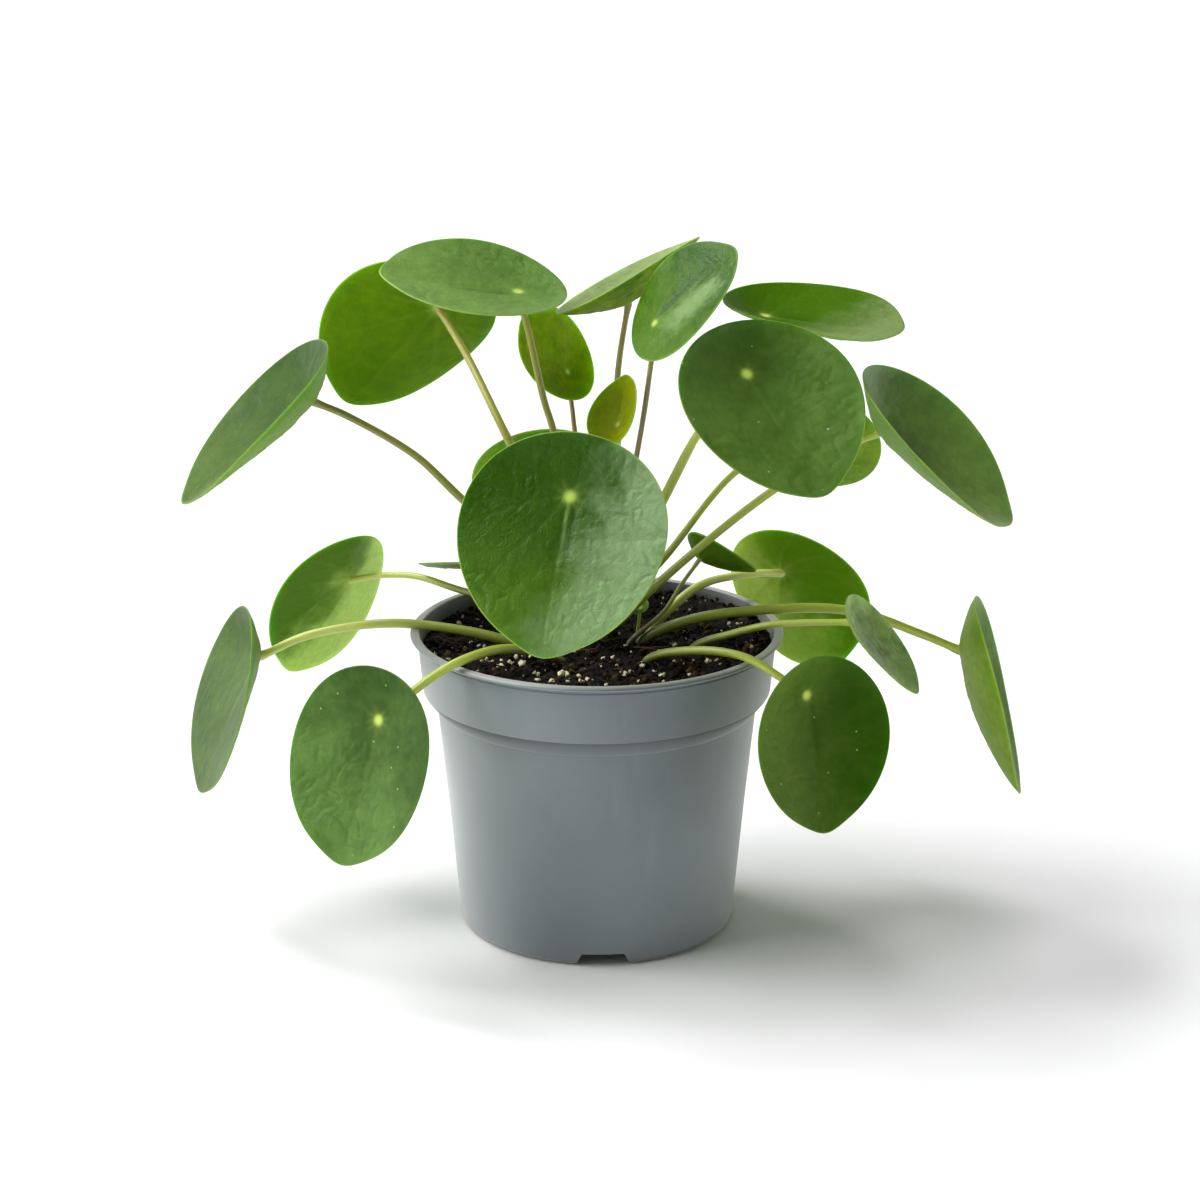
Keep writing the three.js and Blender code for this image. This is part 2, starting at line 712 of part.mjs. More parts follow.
// The step of the tube that a vertex of its unit section belongs to.
function nearestRing(vertex, centres, tangents) {
  let best = 0;
  let bestError = Infinity;
  centres.forEach((centre, i) => {
    const offset = vertex.clone().sub(centre);
    const error = Math.abs(offset.length() - 1) + Math.abs(offset.dot(tangents[i]));
    if (error < bestError) {
      best = i;
      bestError = error;
    }
  });
  return best;
}

// Assembly

function piece(name, geometry, finish) {
  const mesh = new THREE.Mesh(geometry, new THREE.MeshStandardMaterial(finish));
  mesh.name = name;
  return mesh;
}

function soilGeometry() {
  const stemHole = new THREE.CylinderGeometry(
    STEM_BASE_RADIUS + HOLE_CLEARANCE,
    STEM_BASE_RADIUS + HOLE_CLEARANCE,
    60,
    STEM_SIDES,
  );
  stemHole.rotateX(Math.PI / 2);
  stemHole.translate(0, 0, STEM_BASE_Z - CONTACT_GAP + 30);
  let soil = soilBody().subtract(toSolid(stemHole));
  for (const leaf of LEAVES) {
    soil = soil.subtract(toSolid(petioleGeometry(leaf, HOLE_CLEARANCE)));
  }
  return toGeometry(soil);
}

const plant = new THREE.Group();
plant.add(piece("pot", potGeometry(), POT_FINISH));
plant.add(piece("soil", soilGeometry(), SOIL_FINISH));
plant.add(piece("main_stem", turned(stemProfile(), STEM_SIDES), STEM_FINISH));
for (const leaf of LEAVES) {
  const bladeFinish = leaf.young ? YOUNG_BLADE_FINISH : BLADE_FINISH;
  const petioleFinish = leaf.young ? YOUNG_PETIOLE_FINISH : PETIOLE_FINISH;
  plant.add(piece("blade_" + leaf.name, bladeGeometry(leaf), bladeFinish));
  plant.add(piece("petiole_" + leaf.name, petioleGeometry(leaf), petioleFinish));
}

export default plant;
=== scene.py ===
"""Looks of the potted pilea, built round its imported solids.

Sizes here are in millimetres, as in the part's source, and MM turns them into metres.
+X is to the right, -Y is to the front and +Z is up.
"""

import math
from dataclasses import dataclass

import bmesh
import bpy
import numpy as np
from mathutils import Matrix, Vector


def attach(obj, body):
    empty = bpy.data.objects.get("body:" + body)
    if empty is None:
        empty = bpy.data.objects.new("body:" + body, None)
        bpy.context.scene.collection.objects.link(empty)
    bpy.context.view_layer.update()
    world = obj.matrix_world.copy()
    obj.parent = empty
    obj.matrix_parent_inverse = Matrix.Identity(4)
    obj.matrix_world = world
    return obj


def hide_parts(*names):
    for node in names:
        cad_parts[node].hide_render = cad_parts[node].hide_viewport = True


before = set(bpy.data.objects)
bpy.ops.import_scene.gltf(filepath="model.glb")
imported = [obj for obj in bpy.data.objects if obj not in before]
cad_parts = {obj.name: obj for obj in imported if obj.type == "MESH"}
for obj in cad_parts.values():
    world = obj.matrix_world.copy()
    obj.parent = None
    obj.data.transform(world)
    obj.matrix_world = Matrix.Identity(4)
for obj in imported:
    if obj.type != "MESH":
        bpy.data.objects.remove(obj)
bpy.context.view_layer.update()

MM = 0.001
BODY = "root"

# Camera: 1200 x 1200 frame
CAMERA_PLACE = (1.03, -902, 390.7)
CAMERA_TARGET = (1.03, 0, 108)
CAMERA_LENS = 88.3
SENSOR_WIDTH = 36
CLIP_RANGE = (0.05, 60)  # metres

# Suns: name, the way the light goes, strength, softness in degrees, and weight of the gloss
SUNS = [
    ("back_light", (0.47, -0.46, -1.0), 1.3, 19, 1),
    ("side_light", (1.0, 0.03, -1.25), 2.2, 48, 0.35),
    ("narrow_light", (1.0, 0.03, -1.25), 0.5, 20, 0.35),
    ("front_light", (0.85, 0.32, -0.5), 0.35, 26, 8),
]
SUN_DISTANCE = 2  # metres

# World: brightness of the horizon on each side, and of the room above it
HORIZON_LEFT = 3.0
HORIZON_RIGHT = 1.6
HORIZON_FRONT = 0.08
WORLD_FRONT = 0.07
WORLD_BACK = 0.26
FLOOR_SIZE = 24000
FLOOR_COLOUR = (247, 247, 248)

# Pot
POT_HEIGHT = 98.6
POT_SIDES = 192
POT_WALL = 1.0
LIP_RADIUS = 60
LIP_HEIGHT = 2.0
LIP_ROUNDING = 0.6
COLLAR_TOP_RADIUS = 57.7
COLLAR_BASE_RADIUS = 56.1
COLLAR_BASE_Z = 79.2
SHOULDER_RADIUS = 51.2
SHOULDER_Z = 73.6
SHOULDER_GROOVE = 0.45
COLLAR_ROUNDING = 0.5
LIP_GROOVE = 0.3
LIP_GROOVE_WIDTH = 0.8
LIP_FACE = 1.2
FOOT_RADIUS = 44.9
FOOT_ROUNDING = 3.0
FOOT_RING_INSET = 2.1
FOOT_RING_WIDTH = 1.2
FLOOR_UNDERSIDE_Z = 4.8
FLOOR_TOP_Z = 6.0
NOTCH_COUNT = 3
NOTCH_FRONT_ANGLE = -87.5
NOTCH_HEIGHT = 4.2
NOTCH_TOP_WIDTH = 13.4
NOTCH_BASE_WIDTH = 17.5
NOTCH_CORNER = 0.8
NOTCH_RUN = (-15, 5)  # from inside the foot's radius to outside
DRAIN_HOLE_COUNT = 6
DRAIN_HOLE_RADIUS = 3.5
DRAIN_RING_RADIUS = 28
DRAIN_SIDES = 32
FILLET_STEPS = 4
FILLET_SHARE = 0.45  # the most that a rounding takes of a side
SHARP_ANGLE = 38

# Soil
SOIL_LEVEL = 93.3
SOIL_MOUND = 1.6
SOIL_MOUND_RADIUS = 22
SOIL_SLOPE = -0.014
SOIL_SWELL = 0.55
SOIL_CRUMB = 0.45
SOIL_CLEARANCE = 0.3
SOIL_GRID = 190
SOIL_HEAP = 2.2
HEAP_BAND = (46, 54)  # radius where the heap starts, and where it is full
SOIL_CLOD = 1.5
SOIL_SEED = 41
STEM_CLEARANCE = 6.0
CRUMB_COUNT = 900
CRUMB_SIZE = 1.8
CRUMB_REACH = 54.5
EDGE_CRUMB_COUNT = 420
EDGE_CRUMB_SIZE = 1.3
EDGE_CRUMB_HEAP = 1.2
EDGE_CRUMB_BAND = (55.2, 52.6)  # outer and inner radius
CRUMB_SEED = 61
FIBRE_COUNT = 150
FIBRE_CENTRE_REACH = 51
FIBRE_END_REACH = 54
FIBRE_SIDES = 5
FIBRE_SEED = 67
PERLITE_COUNT = 170
PERLITE_REACH = 54
PERLITE_COMPANIONS = 3
PERLITE_GROWTH = 1.05
PERLITE_SEED = 71

# Larger grains of perlite that the photograph shows: x, y and radius
PLACED_PERLITE = [
    (-51.5, -13, 0.7), (-47, -20, 0.6), (-37, -31.5, 0.5), (-33, -22, 0.7), (-30, -26.5, 0.9),
    (-27.5, -22, 0.8), (-23.5, -24, 1.2), (-21, -19, 0.7), (-11, -33.5, 1.5), (-14, -41, 1.0),
    (-3, -39, 0.6), (-5, -42, 0.8), (-2.5, -13, 0.7), (14.5, -26.5, 0.8), (9, -34.5, 0.8),
    (10.5, -32.5, 0.6), (18, -30.5, 0.5), (20.5, -33.5, 1.0), (3, -44, 0.7), (19.5, -13, 0.5),
    (21.5, -12, 0.5), (24, -14, 0.5), (25, -5, 0.8), (35, -20, 0.8), (38, -20, 0.5),
    (49.5, -12, 0.6),
]

# Main stem
STEM_BASE_Z = 68
STEM_TOP_Z = 121
STEM_BASE_RADIUS = 4.7
STEM_TOP_RADIUS = 3.3
STEM_SIDES = 40
STEM_RINGS = 72
STEM_NODES = 7
STEM_SEED = 5

# Blades
BLADE_THICKNESS = 0.8
RIM_THICKNESS = 0.5
RIM_BULGE = 0.12
YOUNG_GRID = 48
YOUNG_BLADE_LENGTH = 40
USUAL_LENGTH = 60
EGG_SHAPE = 0.12
TIP_LENGTH_SHARE = 0.03
TIP_WIDTH = 0.28
CUP_POWER = 1.35
MIDRIB_DEPTH = 0.5
MIDRIB_WIDTH = 0.24
MAIN_VEIN_ANGLES = (0, 36, -38, 73, -75, 112, -114, 150, -152)
BRANCH_STARTS = (0.28, 0.44, 0.6, 0.76)
VEIN_END = 0.93
VEIN_GROOVE = 0.13
BRANCH_GROOVE = 0.08
CREASE_GROOVE = 0.06
MIDRIB_RIDGE = 0.4
VEIN_RIB = 0.18
BRANCH_RIB = 0.07
HUB_BOSS = 0.35
LEVEL_HUB = 3  # radius of the smooth place over the hub
PLAIN_MARGIN = 3.0  # width of the rim over which the relief sets in
BLADE_SEED = 100
NOISE_TABLE = 64

# Petioles
PETIOLE_SIDES = 16
PETIOLE_STEP = 1.5
SEEDLING_STEP = 0.5
SEEDLING_LENGTH = 12
PETIOLE_RISE = 2.4
PETIOLE_SEAT = 0.75
CONTACT_GAP = 0.3
HUB_GAP = 0.4
HUB_LEAD = 3.2
STRAIGHTENING = 1.0
HUB_LEAD_SHARE = 0.12
ROOT_DEPTH = 7
ROOT_LEAN = 0.9
NECK_DEPTHS = (0.95, 0.7, 0.4)  # below the hub
NECK_FLARE = (0.08, 0.25, 0.5)  # what each depth adds to the radius
ROOT_FLARE = (0.22, 3.2)  # share that the root adds, and how far it reaches
HUB_FLARE = (0.3, 2.2)  # millimetres that the hub adds, and how far it reaches
WOBBLE = 0.035
WOBBLE_PITCH = 11
ROOT_INSET_SHARE = 0.45  # of the stem's radius, where the stalk starts inside it
ROOT_DROP = 1.2
PETIOLE_SEED = 200


@dataclass
class Leaf:
    """One leaf, as in the part's source."""

    name: str
    hub: tuple
    facing: tuple  # bearing (0 to the front, 90 to the right) and height of the normal
    turn: float  # how far the tip is turned from straight down the slope
    size: tuple  # length, width, and the share of the length behind the hub
    form: tuple  # cup, saddle, twist, wave, and belly if it has one
    petiole: tuple  # radius at the root and at the hub
    path: list  # points that the petiole passes between its root and the hub
    stem: tuple = None  # where it grows from the stem: bearing and height
    soil: tuple = None  # or where it leaves the soil


LEAVES = [
    Leaf("back_upper_left", (-52.5, 53, 193), (193, 30), 33, (63, 57.5, 0.22), (5, -3.5, 0, 0.5),
         (1.5, 1.2), [(-28, 18, 155.5), (-42, 40, 180)], stem=(120, 109)),
    Leaf("top_left", (-24.5, 0, 208.5), (35, 73), -114, (57, 51, 0.26), (3.6, -0.8, -0.7, 0.4),
         (1.3, 1.0), [(-13.5, -4, 164.5), (-16.5, -3, 174.5), (-21.5, -1, 198)], stem=(205, 116)),
    Leaf("left_upper", (-90, 4, 173), (-78, 44), -1, (66.5, 59, 0.25), (10, -1.2, -0.2, 0.3),
         (1.5, 1.1), [(-42, -2, 141.5), (-57.5, 0, 156), (-79, 3, 169)], stem=(182, 108)),
    Leaf("young_back", (-9.5, 28, 176.5), (49, 25), -141, (33, 30, 0.25), (3.8, 0.5, -1.8, 0),
         (0.95, 0.75), [(-7, 21, 158), (-8.5, 26, 168)], stem=(80, 116)),
    Leaf("front_centre", (-8, -55, 157.5), (-8, 30), -5, (67, 62.5, 0.28), (4.5, 0, -1, 0.5),
         (1.5, 1.2), [(-4, -26, 131), (-7, -46, 149)], stem=(262, 106)),
    Leaf("back_centre", (-17, 45, 140), (184, 28), 0, (54, 48.5, 0.26), (4, -0.5, 0, 0.4),
         (1.4, 1.1), [(-10, 25, 120)], stem=(110, 101)),
    Leaf("top_centre", (9.5, 17, 202), (-103, 61), 152, (52, 49.5, 0.36), (8, 0.6, -0.3, 0.2),
         (1.1, 0.9), [(6, 11, 179)], stem=(48, 118)),
    Leaf("top_right", (17.5, -28, 204.5), (-57, 36), 156, (42.5, 37.5, 0.25), (-1, -1.2, 0.9, 0.4),
         (0.9, 0.8), [(12.5, -14, 160), (15, -20, 177.5), (17, -26, 192)], stem=(318, 117)),
    Leaf("young_front", (6.5, -24, 172), (-54, 32), 198, (23, 20.5, 0.34), (3, -0.9, -0.3, 0),
         (0.8, 0.7), [(6, -19, 150), (7, -23, 164)], stem=(282, 118)),
    Leaf("right_top", (53.5, 16, 197.5), (39, 81), 33, (56.5, 50.5, 0.24), (5.6, -0.8, 1.4, 0.5),
         (1.4, 1.1), [(21.5, 5, 140), (33, 8, 164)], stem=(22, 110)),
    Leaf("right_front", (45, -40, 191.5), (16, 43), 17, (60.5, 55.5, 0.26), (6, -1.6, 1.2, 0.6),
         (1.5, 1.2), [(20.5, -14, 145), (30.5, -25, 170)], stem=(325, 110)),
    Leaf("right_back", (72.5, 22, 161.5), (150, 35), 12, (46.5, 38, 0.25), (3, -0.5, 0, 0.3),
         (1.2, 1.0), [(22, 5, 121), (44, 12, 148)], stem=(12, 103)),
    Leaf("right_outer", (90, 4, 163), (71, 44), 16, (67, 60, 0.26), (11, -2, 1.3, 0.3, 0.6),
         (1.4, 1.2), [(18, -3, 113), (56, 0, 144.5), (85.5, 3, 161.5)], stem=(340, 99)),
    Leaf("left_outer_low", (-110, 4, 88), (-71, 17), -2, (61.5, 55, 0.23),
         (7.7, -0.5, -1, 0.3, -1.2), (1.7, 1.3),
         [(-29, -8, 97), (-41, -5, 99), (-67, -1, 100.5), (-94, 3, 96)], soil=(-17, -11)),
    Leaf("left_back_low", (-83, 42, 102.5), (225, 19), 25, (52.5, 47, 0.3), (3.2, -1.1, 2.2, 0.5),
         (1.3, 1.0), [(-41.5, 16, 105.5), (-60, 28, 107.5), (-72, 36, 106)], stem=(150, 100)),
    Leaf("left_front_low", (-67, -50, 85), (-36, 18), -1, (60, 54, 0.27), (5.8, -0.9, -1.1, 0.7),
         (1.6, 1.3), [(-27.5, -33, 102.5), (-43.5, -43, 101), (-57, -47.5, 94)], soil=(-11, -22)),
    Leaf("right_front_low", (64.5, -47, 92), (31, 9), -1, (53.5, 48, 0.24), (8, -0.9, 1.1, 0.5),
         (1.5, 1.2), [(30, -29, 100.5), (45.5, -38, 101.5), (56.5, -44, 97.5)], soil=(16, -20)),
    Leaf("right_back_low", (62, 42, 105), (155, 18), -23, (54, 48.5, 0.29), (2.5, -1.1, -3.4, 0.5),
         (1.6, 1.2), [(27.5, 17, 103), (36, 24, 106.5), (53.5, 36, 106.5)], soil=(17, 8)),
    Leaf("right_small_low", (80, -26, 109.5), (75, 40), -9, (36, 32, 0.19), (4, 0, 0, 0.2),
         (1.3, 1.0), [(43, -12, 100.5), (55, -18, 105.5), (64, -22, 107.5)], soil=(31, -6)),
    Leaf("right_outer_low", (117, -8, 94), (84, 15), -23, (62.5, 56, 0.25),
         (9, -0.6, -0.4, 0.3, 2.4), (1.8, 1.3),
         [(27, -2, 101), (51.5, -3, 105.5), (81, -5, 106), (104, -7, 99)], soil=(14, -2)),
    Leaf("young_right", (33.5, 8, 120), (137, 47), -50, (24, 21.5, 0.29), (4.3, 0.6, 0.2, 0),
         (0.8, 0.65), [(21.5, 0, 104), (27, 4, 112)], soil=(10, -5)),
    Leaf("seedling", (14, 3, 104.5), (-15, 60), -70, (8, 7, 0.35), (1.4, 0, 0, 0), (0.6, 0.5), [],
         soil=(13, 2)),
    Leaf("left_back_edge", (-38.5, 26, 111.5), (184, 74), 90, (32, 28, 0.4), (1.5, 0, 0, 0),
         (1.1, 0.9), [(-22, 13, 108)], stem=(165, 104)),
]


@dataclass
class Look:
    """How one leaf differs from the others. Colours are screen values."""

    upper: tuple = ((70, 108, 24), (92, 128, 44))  # the face's darker and lighter green
    lower: tuple = ((96, 136, 30), (120, 156, 52))
    root: tuple = (146, 158, 48)  # colour of the petiole at its root
    neck: tuple = (210, 224, 92)  # and at the hub
    relief: float = 1.0  # how deep the quilting is
    gloss: float = 0.42  # roughness of the upper face
    specks: float = 0.0  # how many pale specks it has, up to 1
    shine: float = 0.15  # specular level
    glow: float = 0.45  # how much light passes through
    rim_line: float = 0.4  # how pale the rim is
    # Painted light and sheen: bearing from the tip toward which the blade is lighter, how much,
    # and where that starts and ends, in half lengths from the blade's middle
    fade: tuple = (0, 0, -0.8, 0.8)
    calm: float = 0.3  # how much smoother the darker side is
    # Painted highlight: a pale patch of gloss on the upper face
    painted_highlight: tuple = (0, 0, 1, 1, 0)  # a pale gloss: place, width and length, strength
    tip: float = 0  # how much yellower the upper face is toward the tip
    fold: float = 0.5  # how sharp the crease along the midrib is
    grid: int = 76  # points across the blade
    spot: float = 1.0  # brightness of the hub spot
    # The pale midrib line is partly the midrib's own colour and partly a painted highlight on its
    # lit side
    midline: float = 0.2  # how pale the midrib is


PINK = (146, 116, 86)

LOOKS = {
    "back_upper_left": Look(lower=((80, 114, 2), (112, 142, 14)), root=(132, 140, 50),
        neck=(186, 180, 80), shine=0.03, glow=0.7, fade=(115, 0.45, -0.6, 0.8)),
    "top_left": Look(upper=((86, 124, 40), (122, 156, 72)), root=(142, 130, 60),
        neck=(170, 168, 58), relief=0.9, shine=0.35, fade=(0, 0.5, -0.8, 0.8), fold=0.9, grid=96,
        midline=0),
    "left_upper": Look(upper=((38, 72, 2), (80, 108, 32)), neck=(158, 156, 70), shine=0.16,
        fade=(0, 0.7, -0.8, 0.8)),
    "young_back": Look(upper=((122, 140, 0), (150, 160, 2)), root=PINK, neck=(150, 120, 80),
        shine=0.04, glow=0.95),
    # The upper face's lighter, greyer green is a painted sheen, laid across the blade by the fade
    "front_centre": Look(upper=((50, 86, 2), (128, 154, 108)), relief=1.3, gloss=0.38, shine=0.18,
        rim_line=0.55, fade=(74, 0.97, -0.08, 0.56), calm=0.45, fold=1, grid=150, spot=0.94,
        midline=0.65, tip=0.55),
    "back_centre": Look(upper=((84, 124, 20), (108, 148, 36)),
        lower=((112, 150, 34), (138, 174, 52)), shine=0.05),
    "top_centre": Look(upper=((126, 144, 92), (140, 156, 108)),
        lower=((66, 102, 0), (120, 146, 32)), root=PINK, neck=(172, 160, 96), shine=0.02,
        rim_line=0.3),
    "top_right": Look(upper=((44, 84, 0), (78, 114, 12)), root=PINK, neck=(148, 132, 84),
        relief=0.85, gloss=0.34, shine=0.2, glow=0.6, fade=(180, 0.4, -0.8, 0.8), fold=1, grid=110,
        spot=0.85, painted_highlight=(-6, 13, 5, 13, 0.38)),
    "young_front": Look(upper=((98, 109, 0), (117, 125, 0)), root=PINK, shine=0.03, glow=0.9,
        fold=0.1, spot=0.75, midline=0.05),
    "right_top": Look(upper=((66, 104, 0), (120, 140, 84)), shine=0.03, fade=(-35, 1, -0.15, 0.7),
        calm=0.7),
    "right_front": Look(upper=((76, 108, 33), (95, 126, 49)), relief=0.55, specks=0.6, shine=0.2,
        fold=0.35, grid=104, spot=1.14, midline=0.15),
    "right_back": Look(lower=((112, 144, 26), (140, 162, 48)), glow=0.6),
    "right_outer": Look(upper=((84, 113, 45), (121, 148, 67)), relief=0.8, shine=0.27, rim_line=0.5,
        fade=(0, 0.5, -0.8, 0.8)),
    "left_outer_low": Look(upper=((51, 79, 14), (70, 98, 26)), neck=(236, 246, 130), relief=0.5,
        shine=0.22, fold=0.3),
    "left_back_low": Look(lower=((90, 122, 2), (190, 198, 106)), neck=(236, 246, 130), shine=0.2,
        glow=0.7, fade=(-82, 0.95, -0.4, 0.2)),
    "left_front_low": Look(upper=((44, 76, 6), (98, 131, 60)), relief=0.85, gloss=0.46, specks=0.7,
        shine=0.14, rim_line=0.1, fade=(-36, 0.66, -0.55, 0.5), fold=0.05, grid=124, midline=0.1),
    "right_front_low": Look(upper=((53, 89, 0), (102, 129, 50)), relief=0.7, specks=1.0, shine=0.06,
        rim_line=0.1, fade=(-90, 0.8, -0.6, 0.6), fold=0.7, grid=104, spot=1.12, midline=0),
    "right_back_low": Look(lower=((96, 133, 0), (172, 184, 84)), root=(190, 200, 90),
        neck=(244, 250, 150), shine=0.03, glow=0.7, fade=(82, 0.9, -0.25, 0.45)),
    "right_small_low": Look(upper=((102, 133, 40), (178, 199, 122)), relief=1.5, shine=0.45,
        rim_line=0.6, fold=0),
    "right_outer_low": Look(upper=((84, 108, 38), (104, 128, 56)),
        lower=((98, 130, 10), (130, 152, 54)), relief=0.5, shine=0.14, glow=0.6, rim_line=0.5),
    "young_right": Look(upper=((31, 52, 5), (41, 61, 10)), lower=((76, 108, 14), (94, 126, 28)),
        root=(120, 112, 70), neck=(158, 156, 92), shine=0.06),
    "seedling": Look(upper=((96, 128, 40), (120, 150, 60)), rim_line=0.8),
    "left_back_edge": Look(lower=((105, 133, 42), (136, 160, 76)), shine=0.6),
}


# Numbers


def screen(red, green, blue):
    """Linear colour from screen values of 0 to 255."""
    values = np.array([red, green, blue]) / 255
    linear = np.where(values <= 0.04045, values / 12.92, ((values + 0.055) / 1.055) ** 2.4)
    return (*[float(v) for v in linear], 1.0)


def unit(vector):
    return vector / np.linalg.norm(vector)


def unit_rows(vectors):
    return vectors / np.linalg.norm(vectors, axis=1)[:, None]


def level_way(degrees):
    """A level unit vector, turned from +X toward +Y."""
    turn = math.radians(degrees)
    return np.array([math.cos(turn), math.sin(turn), 0])


def circle(sides):
    """Points evenly round the unit circle."""
    turns = np.linspace(0, 2 * np.pi, sides, endpoint=False)
    return np.stack([np.cos(turns), np.sin(turns)], axis=1)


def smooth(values, low, high):
    """0 up to low, 1 from high, and a smooth step between them."""
    share = np.clip((values - low) / (high - low), 0, 1)
    return share * share * (3 - 2 * share)


def bell(distance, width):
    """1 at no distance, and next to nothing from twice the width."""
    return np.exp(-((distance / width) ** 2))


def value_noise(points, pitch, seed):
    """Smooth noise of -1 to 1 at points of 2 coordinates, with bumps a pitch apart."""
    table = np.random.default_rng(seed).uniform(-1, 1, (NOISE_TABLE, NOISE_TABLE))
    grid = np.asarray(points) / pitch
    cell = np.floor(grid).astype(int)
    share = grid - cell
    share = share**3 * (share * (share * 6 - 15) + 10)
    i, j = (cell % NOISE_TABLE).T
    i_next, j_next = (i + 1) % NOISE_TABLE, (j + 1) % NOISE_TABLE
    u, v = share.T
    low = table[i, j] * (1 - u) + table[i_next, j] * u
    high = table[i, j_next] * (1 - u) + table[i_next, j_next] * u
    return low * (1 - v) + high * v


def two_layers(points, pitch, seed):
    """Noise with a finer layer of half the pitch and half the height."""
    return value_noise(points, pitch, seed) + 0.5 * value_noise(points, pitch / 2, seed + 1)


def cell_edges(points, pitch, seed):
    """0 on the lines between scattered cells about a pitch across, more inside them."""
    rng = np.random.default_rng(seed)
    jitter = rng.uniform(0.1, 0.9, (NOISE_TABLE, NOISE_TABLE, 2))
    grid = np.asarray(points) / pitch
    cell = np.floor(grid).astype(int)
    distances = []
    for di in (-1, 0, 1):
        for dj in (-1, 0, 1):
            other = cell + (di, dj)
            centre = other + jitter[other[:, 0] % NOISE_TABLE, other[:, 1] % NOISE_TABLE]
            distances.append(np.linalg.norm(grid - centre, axis=1))
    distances = np.sort(np.stack(distances), axis=0)
    return distances[1] - distances[0]


def distance_to_line(points, line):
    """Distance of each point to a polyline, and the share of its length passed there."""
    best = np.full(len(points), np.inf)
    share = np.zeros(len(points))
    last = len(line) - 1
    for i in range(last):
        start, step = line[i], line[i + 1] - line[i]
        along = np.clip((points - start) @ step / (step @ step), 0, 1)
        distance = np.linalg.norm(points - start - along[:, None] * step, axis=1)
        nearer = distance < best
        best[nearer] = distance[nearer]
        share[nearer] = (i + along[nearer]) / last
    return best, share


# Meshes


def linked(name, data):
    """A new object of the scene."""
    obj = bpy.data.objects.new(name, data)
    bpy.context.scene.collection.objects.link(obj)
    return obj


def make_object(name, vertices, faces, marks=None):
    """An object from millimetre points, with marks as attributes of its points."""
    mesh = bpy.data.meshes.new(name)
    mesh.from_pydata((np.asarray(vertices, float) * MM).tolist(), [], [list(f) for f in faces])
    mesh.validate()
    for mark, values in (marks or {}).items():
        values = np.asarray(values, np.float32)
        kind, key = ("FLOAT", "value") if values.ndim == 1 else ("FLOAT_VECTOR", "vector")
        mesh.attributes.new(mark, kind, "POINT").data.foreach_set(key, values.ravel())
    mesh.polygons.foreach_set("use_smooth", [True] * len(mesh.polygons))
    mesh.update()
    return linked(name, mesh)


def grid_faces(size, offset=0, flip=False):
    """Quads of a square grid of points stored row by row."""
    i, j = np.meshgrid(np.arange(size - 1), np.arange(size - 1), indexing="ij")
    a = (i * size + j).ravel() + offset
    quads = np.stack([a, a + 1, a + size + 1, a + size], axis=1)
    return quads[:, ::-1] if flip else quads


def grid_border(size):
    """Indices round the edge of a square grid, once round."""
    index = np.arange(size * size).reshape(size, size)
    return np.concatenate([index[0, :-1], index[:-1, -1], index[-1, :0:-1], index[:0:-1, 0]])


def square_on_disc(size):
    """A square grid of points laid on the unit disc without a pole."""
    steps = np.linspace(-1, 1, size)
    u, v = np.meshgrid(steps, steps, indexing="ij")
    x = u * np.sqrt(1 - v**2 / 2)
    y = v * np.sqrt(1 - u**2 / 2)
    return x.ravel(), y.ravel()


def strip_faces(first, second):
    """Quads between two closed loops of point indices."""
    return np.stack([first, np.roll(first, -1), np.roll(second, -1), second], axis=1)


def closed_skin(rings, start, end):
    """Points and faces over rings of points, closed by a point at each end."""
    sides, first = len(rings[0]), len(rings) * len(rings[0])
    points = np.concatenate([*rings, [start], [end]])
    faces = []
    for k in range(len(rings) - 1):
        loop = np.arange(sides) + k * sides
        faces += strip_faces(loop, loop + sides).tolist()
    top = first - sides
    for i in range(sides):
        j = (i + 1) % sides
        faces += [[first, j, i], [first + 1, top + i, top + j]]
    return points, faces


def tube(centres, radii, sides):
    """A closed round tube through the centres."""
    centres = np.asarray(centres, float)
    tangents = unit_rows(np.gradient(centres, axis=0))
    helper = np.array([0, 0, 1.0]) if abs(tangents[0][2]) < 0.9 else np.array([1.0, 0, 0])
    side = unit(np.cross(tangents[0], helper))
    cosine, sine = circle(sides).T[:, :, None]
    rings = []
    for centre, tangent, radius in zip(centres, tangents, radii):
        side = unit(side - tangent * (side @ tangent))
        ring = cosine * side + sine * np.cross(tangent, side)
        rings.append(centre + ring * radius)
    return closed_skin(rings, centres[0], centres[-1])


def turned(profile, sides):
    """A closed profile of radius and height, turned round the Z axis."""
    ring = circle(sides)
    rings = [np.column_stack([ring * r, np.full(sides, z)]) for r, z in profile[1:-1]]
    return closed_skin(rings, (0, 0, profile[0, 1]), (0, 0, profile[-1, 1]))


def joined(parts):
    """One set of points and faces out of several, with the number of the part per point."""
    points, faces, owner = [], [], []
    count = 0
    for k, (part_points, part_faces) in enumerate(parts):
        points.append(np.asarray(part_points))
        faces += [[i + count for i in face] for face in part_faces]
        owner.append(np.full(len(part_points), k))
        count += len(part_points)
    return np.concatenate(points), faces, np.concatenate(owner)


def sphere(subdivisions):
    """Points and faces of a unit icosphere."""
    made = bmesh.new()
    bmesh.ops.create_icosphere(made, subdivisions=subdivisions, radius=1)
    points = np.array([v.co[:] for v in made.verts])
    faces = [[v.index for v in f.verts] for f in made.faces]
    made.free()
    return points, faces


def seat(obj, node, material):
    """Gives a piece its finish, hangs it on its body and hides the imported solid it stands for."""
    obj.data.materials.clear()
    obj.data.materials.append(material)
    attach(obj, BODY)
    if node:
        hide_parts(node)


# Node trees


